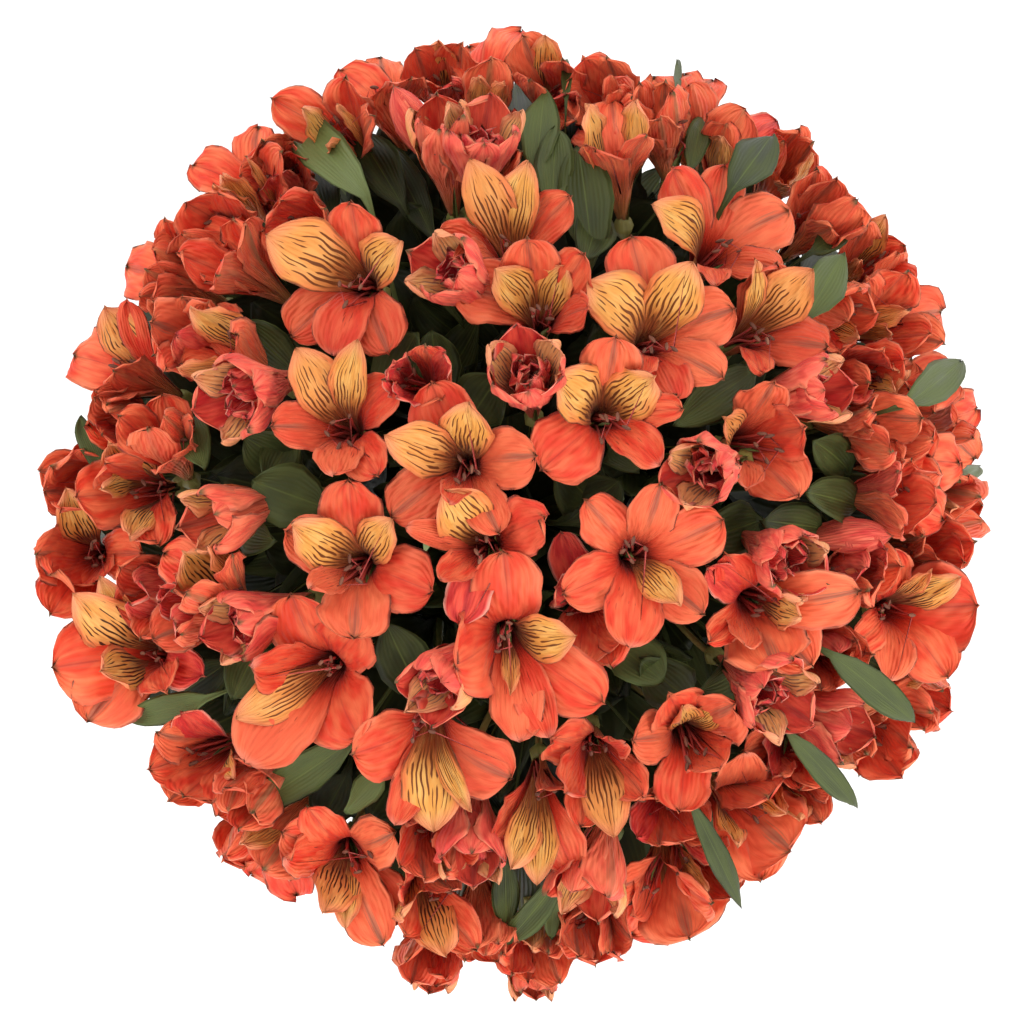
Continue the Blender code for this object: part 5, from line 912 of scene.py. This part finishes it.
def facing_floret(name, throat, size, lift, petals, rng):
    mesh = Mesh()
    seed = rng.uniform()
    depth, height = 0.022 * size, 0.040 * size
    mean = np.mean([(p[1], p[2]) for p in petals if p[0] != "r"], axis=0)
    radial = unit(on_dome(*throat, MOUTH_R) - CENTRE)
    shift = (mean - throat) * PX * np.array((1, -1)) / (height - depth) * 0.55
    measured = unit((shift[0], shift[1], 1.0))
    axis = unit(radial * 0.55 + measured * 0.65)
    # the mouth's middle is where the axis that passes through the throat meets the dome
    mouth = on_dome(*throat, MOUTH_R + lift * 0.001)
    for _ in range(4):
        deep = mouth - axis * (height - depth)
        miss = np.array(throat) - to_pixel(deep)
        mouth = on_dome(*(to_pixel(mouth) + miss), MOUTH_R + lift * 0.001)
    base = mouth - axis * height
    side, up = frame_about(axis, np.array((0.0, 1.0, 0.0)))
    golden = np.zeros(3)
    for kind, tx, ty, wide in petals:
        form = {"o": "o", "y": "y", "c": "c", "r": "o"}[kind]
        slot = {"o": FRONT, "y": YELLOW, "c": LOWER, "r": FRONT}[kind]
        length = size * {"o": 0.048, "y": 0.049, "c": 0.047}[form] * rng.uniform(0.98, 1.03)
        a0, s0, s1, curl = (13.0, 0.30, 0.84, rng.uniform(-6, 16)) if form != "y" else (9.0, 0.32, 0.80, rng.uniform(-4, 14))
        if form == "y":
            length *= float(np.clip(math.hypot(tx - throat[0], ty - throat[1]) * PX * 1.9 / length, 0.72, 1.0))
        phi, flare, length, miss = aimed(base, axis, side, up, (tx, ty), length, 1.3, a0, s0, s1, curl, 0, 72 if form == "o" else 55)
        if miss > 6:
            print(name, kind, tx, ty, "is off by", round(miss))
        golden = golden + (side * math.cos(phi) + up * math.sin(phi) if kind == "y" else 0)
        # except on crimson ones, a facing floret's petals get a shade below nought, which darkens their colour: painted
        # shade for the full light they get
        petal(mesh, base + axis * (-0.0010 if form == "o" else 0.0014), axis, side, up, phi, form, length, wide * PX * 0.53, 0, rng, slot,
              seed + rng.uniform(0, 3), face=0.35,
              cup=rng.uniform(-0.10, 0.16) if form == "o" else rng.uniform(0.05, 0.30), curl=curl,
              ruffle=rng.uniform(0.6, 1.3), twist=rng.uniform(-0.18, 0.18), a0=a0, s0=s0, s1=s1, flare=flare,
              grid=(21, 15), ahead={"o": -0.0006, "y": 0.0028, "c": 0.0004}[form],
              shade=0.8 if kind == "r" else -0.10)
    down = -unit(golden) if np.linalg.norm(golden) > 0.1 else up
    stamens(mesh, base, axis, side, up, down, height, 6, rng, seed)
    ovary(mesh, base, axis, seed, size)
    stem = stem_of(mouth)
    stalk(mesh, stem, base, axis, seed)
    return mesh, stem


def leaning_floret(name, foot, petals, rng, lift=0.0):
    """A floret whose tube's foot and petal tips are known in the top view. Each tip lies as far from the
    foot as its petal is long, on the near or the far side."""
    mesh = Mesh()
    seed = rng.uniform()
    mean = np.mean([(p[1], p[2]) for p in petals], axis=0)
    mouth = on_dome(mean[0], mean[1], MOUTH_R + lift)
    depth = mouth[2] - DOME_Z
    height, flat = 0.041, math.hypot(*((mean - foot) * PX * (VIEW_D - depth) / VIEW_D))
    drop = math.sqrt(max(height**2 - flat**2, (0.18 * height) ** 2))
    base = at_height(foot[0], foot[1], depth - drop)
    axis = unit(unit(mouth - base) + np.array((0.0, 0.0, 0.22)))
    side, up = frame_about(axis, np.array((0.0, 1.0, 0.0)) if abs(axis[1]) < 0.9 else np.array((1.0, 0.0, 0.0)))
    taken = []
    for kind, tx, ty, wide, where in petals:
        form = "o" if kind == "r" else kind
        length = {"o": 0.049, "y": 0.049, "c": 0.047}[form]
        curl = rng.uniform(-4, 16)
        phi, flare, length, miss = aimed(base, axis, side, up, (tx, ty), length, 1.3, 11, 0.30, 0.88, curl, 1 if where == "n" else -1, 46 if where == "n" else 62)
        if miss > 6:
            print(name, kind, tx, ty, "is off by", round(miss))
        taken.append(phi)
        petal(mesh, base, axis, side, up, phi, "s" if form == "o" else form, length, wide * PX * {"o": 0.56, "y": 0.45, "c": 0.52}[form], 0, rng,
              {"o": FRONT, "y": YELLOW, "c": LOWER}[form], seed + rng.uniform(0, 3), cup=rng.uniform(-0.12, 0.18), curl=curl,
              ruffle=rng.uniform(0.7, 1.4), twist=rng.uniform(-0.25, 0.25), a0=11, s0=0.30, s1=0.88, flare=flare, face=0.55,
              shade=0.75 if kind == "r" else rng.uniform(0, 0.10))
    # the petals that can't be seen fill the widest gaps round the tube
    while len(taken) < 6:
        ring = sorted(taken)
        gaps = [(ring[(k + 1) % len(ring)] - ring[k]) % (2 * math.pi) or 2 * math.pi for k in range(len(ring))]
        k = int(np.argmax(gaps))
        phi = ring[k] + gaps[k] / 2
        taken.append(math.atan2(math.sin(phi), math.cos(phi)))
        petal(mesh, base, axis, side, up, phi, "s", 0.041, 0.0096, 0.013 * rng.uniform(0.8, 1.15), rng, FRONT,
              seed + rng.uniform(0, 3), cup=0.15, curl=8, a0=12, s0=0.28, s1=0.88, shade=rng.uniform(0, 0.1), grid=(11, 9))
    down = -side if rng.uniform() < 0.5 else side
    stamens(mesh, base, axis, side, up, down, 0.040, 6, rng, seed)
    ovary(mesh, base, axis, seed)
    stem = stem_of(mouth)
    stalk(mesh, stem, base, axis, seed)
    return mesh, stem


def side_floret(name, px, py, lean, turn, spread, opened, roll, lift, double, rng):
    mesh = Mesh()
    seed = rng.uniform()
    radius = DOME_R if lean >= 80 else MOUTH_R
    tip = on_dome(px, py, radius + lift * 0.001)
    axis = polar(lean, turn)
    radial = unit(tip - CENTRE)
    length = 0.034 if opened < 0.2 else 0.046
    stem = stem_of(tip)
    base = tip - axis * length * (0.96 if opened < 0.5 else 0.88)
    a = polar(lean + 90, turn)
    b = np.cross(axis, a)
    if opened < 0.2:
        bud(mesh, base, axis, a, b, length, (0.0064 if spread < 70 else 0.0082), rng, seed)
        ovary(mesh, base, axis, seed, 0.9)
        stalk(mesh, stem, base, axis, seed)
        return mesh, stem
    r = math.radians(roll)
    up = a * math.cos(r) + b * math.sin(r)
    side = np.cross(up, axis)
    reach = 0.5 * spread * PX
    for k in range(6):
        phi = math.pi / 2 + k * math.pi / 3 + rng.uniform(-0.10, 0.10)
        kind = "oycocy"[k] if False else ("o", "y", "o", "c", "o", "y")[k]
        if opened < 0.7:
            curl = rng.uniform(-60, -25)
            wide = 0.0098 if kind == "o" else 0.0075
            petal(mesh, base, axis, side, up, phi, kind, 0.047, wide, reach * rng.uniform(0.62, 0.85), rng,
                  {"o": FRONT, "y": YELLOW, "c": LOWER}[kind], seed + k, cup=0.55, curl=curl, ruffle=0.8, a0=12, s0=0.1, s1=0.6,
                  shade=0.65 if double else 0.35)
            continue
        far = reach * rng.uniform(0.90, 1.08) * (1.0 if kind != "y" else 0.88)
        wide = {"o": 0.0108, "y": 0.0084, "c": 0.0080}[kind] * rng.uniform(0.92, 1.08)
        long = {"o": 0.048, "y": 0.049, "c": 0.046}[kind]
        petal(mesh, base, axis, side, up, phi, kind, long, wide, far, rng,
              {"o": FRONT, "y": YELLOW, "c": LOWER}[kind], seed + k, cup=rng.uniform(-0.05, 0.25), curl=rng.uniform(0, 22),
              ruffle=rng.uniform(0.6, 1.4), twist=rng.uniform(-0.25, 0.25), a0=12, s0=0.28, s1=0.9, shade=rng.uniform(0, 0.25))
    if double:
        for k in range(5 + double):
            phi = 2.4 * k
            petal(mesh, base, axis, side, up, phi, "c", 0.036 + 0.002 * (k % 3), 0.0058, reach * rng.uniform(0.15, 0.5), rng, LOWER, seed + k,
                  cup=0.5, curl=rng.uniform(-40, 10), ruffle=2.2, twist=rng.uniform(-0.9, 0.9), a0=8, shade=0.95, grid=(13, 9))
    stamens(mesh, base, axis, side, up, -up, 0.040, 6, rng, seed)
    ovary(mesh, base, axis, seed)
    stalk(mesh, stem, base, axis, seed)
    return mesh, stem


# ---------------------------------------------------------------- make everything
rng = np.random.default_rng(20)
node_names = [f"alstroemeria_stem_{i + 1:02d}" for i in range(len(HEADS))]


def place(mesh, name, *nodes):
    obj = mesh.build(name, MATERIALS)
    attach(obj, "root")
    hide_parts(*nodes)
    return obj


for label, (throat, size, lift, petals) in FACING.items():
    made, stem = facing_floret(label, throat, size, lift, petals, rng)
    place(made, f"floret_{label[1:]}", node_names[stem])
for label, (foot, petals, *lift) in LEANING.items():
    made, stem = leaning_floret(label, np.array(foot, float), petals, rng, 0.001 * sum(lift))
    place(made, f"floret_{label[1:]}", node_names[stem])
for row in SIDE:
    made, stem = side_floret(*row, rng)
    kind = "bud" if row[6] < 0.2 else "floret"
    place(made, f"{kind}_{row[0][1:]}", node_names[stem])

# stems with their hubs, whorls and leaves
greens = [Mesh() for _ in HEADS]
for i, head in enumerate(HEADS):
    hub = CENTRE + head * HUB_R
    g = greens[i]
    seed = rng.uniform()
    heights = np.linspace(-WAIST_Z, hub[2] - WAIST_Z, 40)
    path = np.array([stem_point(hub, h) for h in heights])
    t = np.linspace(0, 1, 40)
    # a slight bow that fades at the waist, the feet and the hub
    out = unit((hub[0], hub[1], 0)) if i else np.zeros(3)
    path += out * (0.0010 * np.sin(t * math.pi * 5 + i) * np.sin(math.pi * t))[:, None] * np.abs(heights[:, None]) / 0.15
    width = np.interp(t, (0, 0.5, 0.97, 1.0), (0.0027, 0.0024, 0.0022, 0.0040))
    for k, knot in enumerate((0.12, 0.27, 0.62, 0.80)):
        width = width + 0.00035 * np.exp(-(((t - knot) / 0.010) ** 2))
    sides = 12
    tube(g, path, width, sides, STEM, seed, np.interp(t, (0, 0.3, 0.9, 1.0), (0.30, 0.05, 0.0, 0.1)), 3.0)
    # the foot is cut level
    points = g.v[-1]
    points[:sides, 2] = 0.0
    points[-2, 2] = 0.0
    slots = g.m[-1]
    quads = (len(path) - 1) * sides
    slots[quads:quads + sides] = CUT
    # the swelling that the flower stalks grow from
    body = hub + head * np.linspace(-0.0046, 0.0052, 9)[:, None]
    tube(g, body, 0.0054 * np.sqrt(np.maximum(1 - np.linspace(-0.97, 0.97, 9) ** 2, 0.04)), 14, STALK, seed, 0.1)


def hub_leaf(stem, tip, width_mm, shade, twist, fold=0.22, foot=None, blunt=0.5, rows=17, cols=9):
    """A leaf from a stem's hub. Where the foot of its blade is given, the blade runs from there to the tip."""
    hub = CENTRE + HEADS[stem] * HUB_R
    out = unit(tip - CENTRE)
    if foot is None:
        reach = np.linalg.norm(tip - hub)
        aim = unit(tip - hub)
        path = bezier(hub + aim * 0.003, hub + (aim * 0.7 + HEADS[stem] * 0.3) * reach * 0.4, tip - unit(out * 0.55 + aim * 0.5) * reach * 0.35, tip, rows)
        start = 0.18
        normal = unit(np.array((0.0, 0.0, 1.0)) + out * 0.2 - aim * 0.4)
    else:
        aim = unit(foot - hub)
        low = bezier(hub + aim * 0.003, hub + aim * 0.3 * np.linalg.norm(foot - hub), foot - unit(aim + unit(tip - foot)) * 0.012, foot, 7)
        bow = out * np.linalg.norm(tip - foot) * 0.04
        high = bezier(foot, foot + (tip - foot) * 0.33 + bow, foot + (tip - foot) * 0.7 + bow, tip, 12)
        path = np.concatenate([low, high[1:]])
        start = 0.33
        normal = np.array((0.0, 0.0, 1.0)) + out * 0.25
    leaf(greens[stem], path, width_mm * 0.0005, normal, rng, rng.uniform(0, 5), shade, twist, fold, start, blunt, cols)


for px, py, fx, fy, depth, low, width_mm, shade, twist, blunt in LEAVES:
    tip = on_dome(px, py, MOUTH_R * depth)
    foot = on_dome(fx, fy, MOUTH_R * low)
    hub_leaf(stem_of(foot), tip, width_mm * (0.88 if width_mm > 17 else 1.0), shade, twist, 0.26, foot, blunt * 0.45)
for i, head in enumerate(HEADS):
    side, up = frame_about(head, np.array((0.0, 1.0, 0.2)))
    # broad leaves in two layers fill the spaces between the florets; most are darkened with painted shade, the lower
    # layer more, and a few lightened with painted light
    for layer, count, spread, height in ((0, 8, 0.36, 0.77), (1, 7, 0.28, 0.66)):
        for j in range(count):
            a = 2 * math.pi * (j + 0.5 * layer) / count + 0.7 * i
            wide = spread + 0.05 * (j % 2)
            out = unit(head + side * wide * math.cos(a) + up * wide * math.sin(a))
            tip = CENTRE + out * MOUTH_R * (height - 0.05 * (j % 2))
            if tip[2] < DOME_Z - 0.03:
                continue
            hub_leaf(i, tip, 17 + 3 * (j % 3), rng.uniform(-0.40, 0.12) - 0.12 * layer, rng.uniform(-0.9, 0.9), 0.26, None, 0.25, 13, 7)
for k in range(120):
    # broad leaves low under the florets, darkened with painted shade
    down = math.degrees(math.acos(1 - 0.92 * (k + 0.5) / 120))
    out = polar(down, 137.508 * k)
    tip = CENTRE + out * MOUTH_R * (0.66 + 0.07 * (k % 3) / 2 + 0.10 * (down > 50))
    hub_leaf(stem_of(tip), tip, 28 + 3 * (k % 3), rng.uniform(-0.45, -0.30), rng.uniform(-0.4, 0.4), 0.12, None, 0.8, 11, 5)
for k in range(60):
    # and a collar of them under the rim, darkened with painted shade as well
    out = polar(78 + 9 * (k % 3), 6.0 * k + rng.uniform(-2, 2))
    tip = CENTRE + out * MOUTH_R * (0.90 - 0.07 * (k % 2))
    hub_leaf(stem_of(tip), tip, 26, 0.08 * (k % 3) - 0.26, rng.uniform(-0.3, 0.3), 0.12, None, 0.5, 13, 7)
# a leaf low on each outer stem, lightened a little with painted light
for i in range(1 + INNER_RING, len(HEADS)):
    hub = CENTRE + HEADS[i] * HUB_R
    at = stem_point(hub, 0.055)
    out = unit((at[0], at[1], 0))
    reach = 0.085
    tip = at + out * reach + np.array((0, 0, 0.030))
    path = bezier(at - out * 0.001, at + out * reach * 0.4 + np.array((0, 0, 0.030)), tip - out * reach * 0.3 + np.array((0, 0, 0.012)), tip, 17)
    leaf(greens[i], path, 0.0075, np.array((0, 0, 1.0)), rng, rng.uniform(0, 5), 0.25, rng.uniform(-0.3, 0.3), 0.2, 0.0, 0.1)
for name, g in zip(node_names, greens):
    place(g, name.replace("alstroemeria_stem", "stem_and_leaves"), name)

# the binding: three turns of two-ply twine
wrap = Mesh()
low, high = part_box("binding_twine")
middle = (np.array(low) + np.array(high)) / 2 - SHIFT
outer = (high[0] - low[0]) / 2
turns, ply = 3, 2
count = turns * 60
for p in range(ply):
    t = np.linspace(0, 1, count)
    a = t * turns * 2 * math.pi
    twirl = a * 9 + p * math.pi
    radius = outer - 0.0014 + 0.00055 * np.cos(twirl)
    z = (t - 0.5) * 0.0052 + 0.00055 * np.sin(twirl)
    path = np.stack([middle[0] + radius * np.cos(a), middle[1] + radius * np.sin(a), middle[2] + z], 1)
    tube(wrap, path, 0.00082, 7, TWINE, 0.3 + p)
knot_at = np.array((middle[0] + outer - 0.0006, middle[1], middle[2]))
t = np.linspace(0, 2 * math.pi, 40, endpoint=True)
loop = np.stack([0.0011 * np.cos(t) * np.ones(40), 0.0030 * np.sin(t), 0.0022 * np.sin(2 * t)], 1) + knot_at
tube(wrap, loop, 0.00085, 7, TWINE, 0.9)
place(wrap, "twine_binding", "binding_twine")

# ---------------------------------------------------------------- stage, light and camera
import bmesh

bm = bmesh.new()
bmesh.ops.create_grid(bm, x_segments=1, y_segments=1, size=6.0)
floor_mesh = bpy.data.meshes.new("floor")
bm.to_mesh(floor_mesh)
bm.free()
floor = bpy.data.objects.new("floor", floor_mesh)
floor.location = (0, 0, -0.0005)
bpy.context.scene.collection.objects.link(floor)
f = Maker("floor_white")
f.shader.inputs["Specular IOR Level"].default_value = 0.1
floor_mesh.materials.append(f.finish((0.95, 0.95, 0.95, 1), 0.9))

world = bpy.data.worlds.new("studio")
bpy.context.scene.world = world
world.use_nodes = True
background = world.node_tree.nodes["Background"]
background.inputs["Color"].default_value = (1.0, 1.0, 1.0, 1)
background.inputs["Strength"].default_value = 1.44


def softbox(name, location, size, power, colour=(1, 1, 1)):
    light = bpy.data.lights.new(name, "AREA")
    light.shape = "SQUARE"
    light.size = size
    light.energy = power
    light.color = colour
    obj = bpy.data.objects.new(name, light)
    obj.location = location
    direction = np.array((0, 0, 0.25)) - np.array(location)
    from mathutils import Vector
    obj.rotation_euler = Vector(direction).to_track_quat("-Z", "Y").to_euler()
    bpy.context.scene.collection.objects.link(obj)


softbox("key", (1.5, -1.5, 2.0), 1.4, 30)
softbox("fill", (-1.4, 0.9, 2.2), 1.6, 8)

camera_data = bpy.data.cameras.new("camera")
camera = bpy.data.objects.new("camera", camera_data)
bpy.context.scene.collection.objects.link(camera)
camera_data.sensor_width = 36.0
camera_data.lens = 18.0 * VIEW_D / (512 * PX)
camera_data.clip_end = 20
camera.location = (SHIFT[0] + 4 * PX, SHIFT[1], DOME_Z + VIEW_D)
camera.rotation_euler = (0, 0, 0)
bpy.context.scene.camera = camera
bpy.context.scene.view_settings.view_transform = "Standard"
bpy.context.scene.view_settings.look = "None"
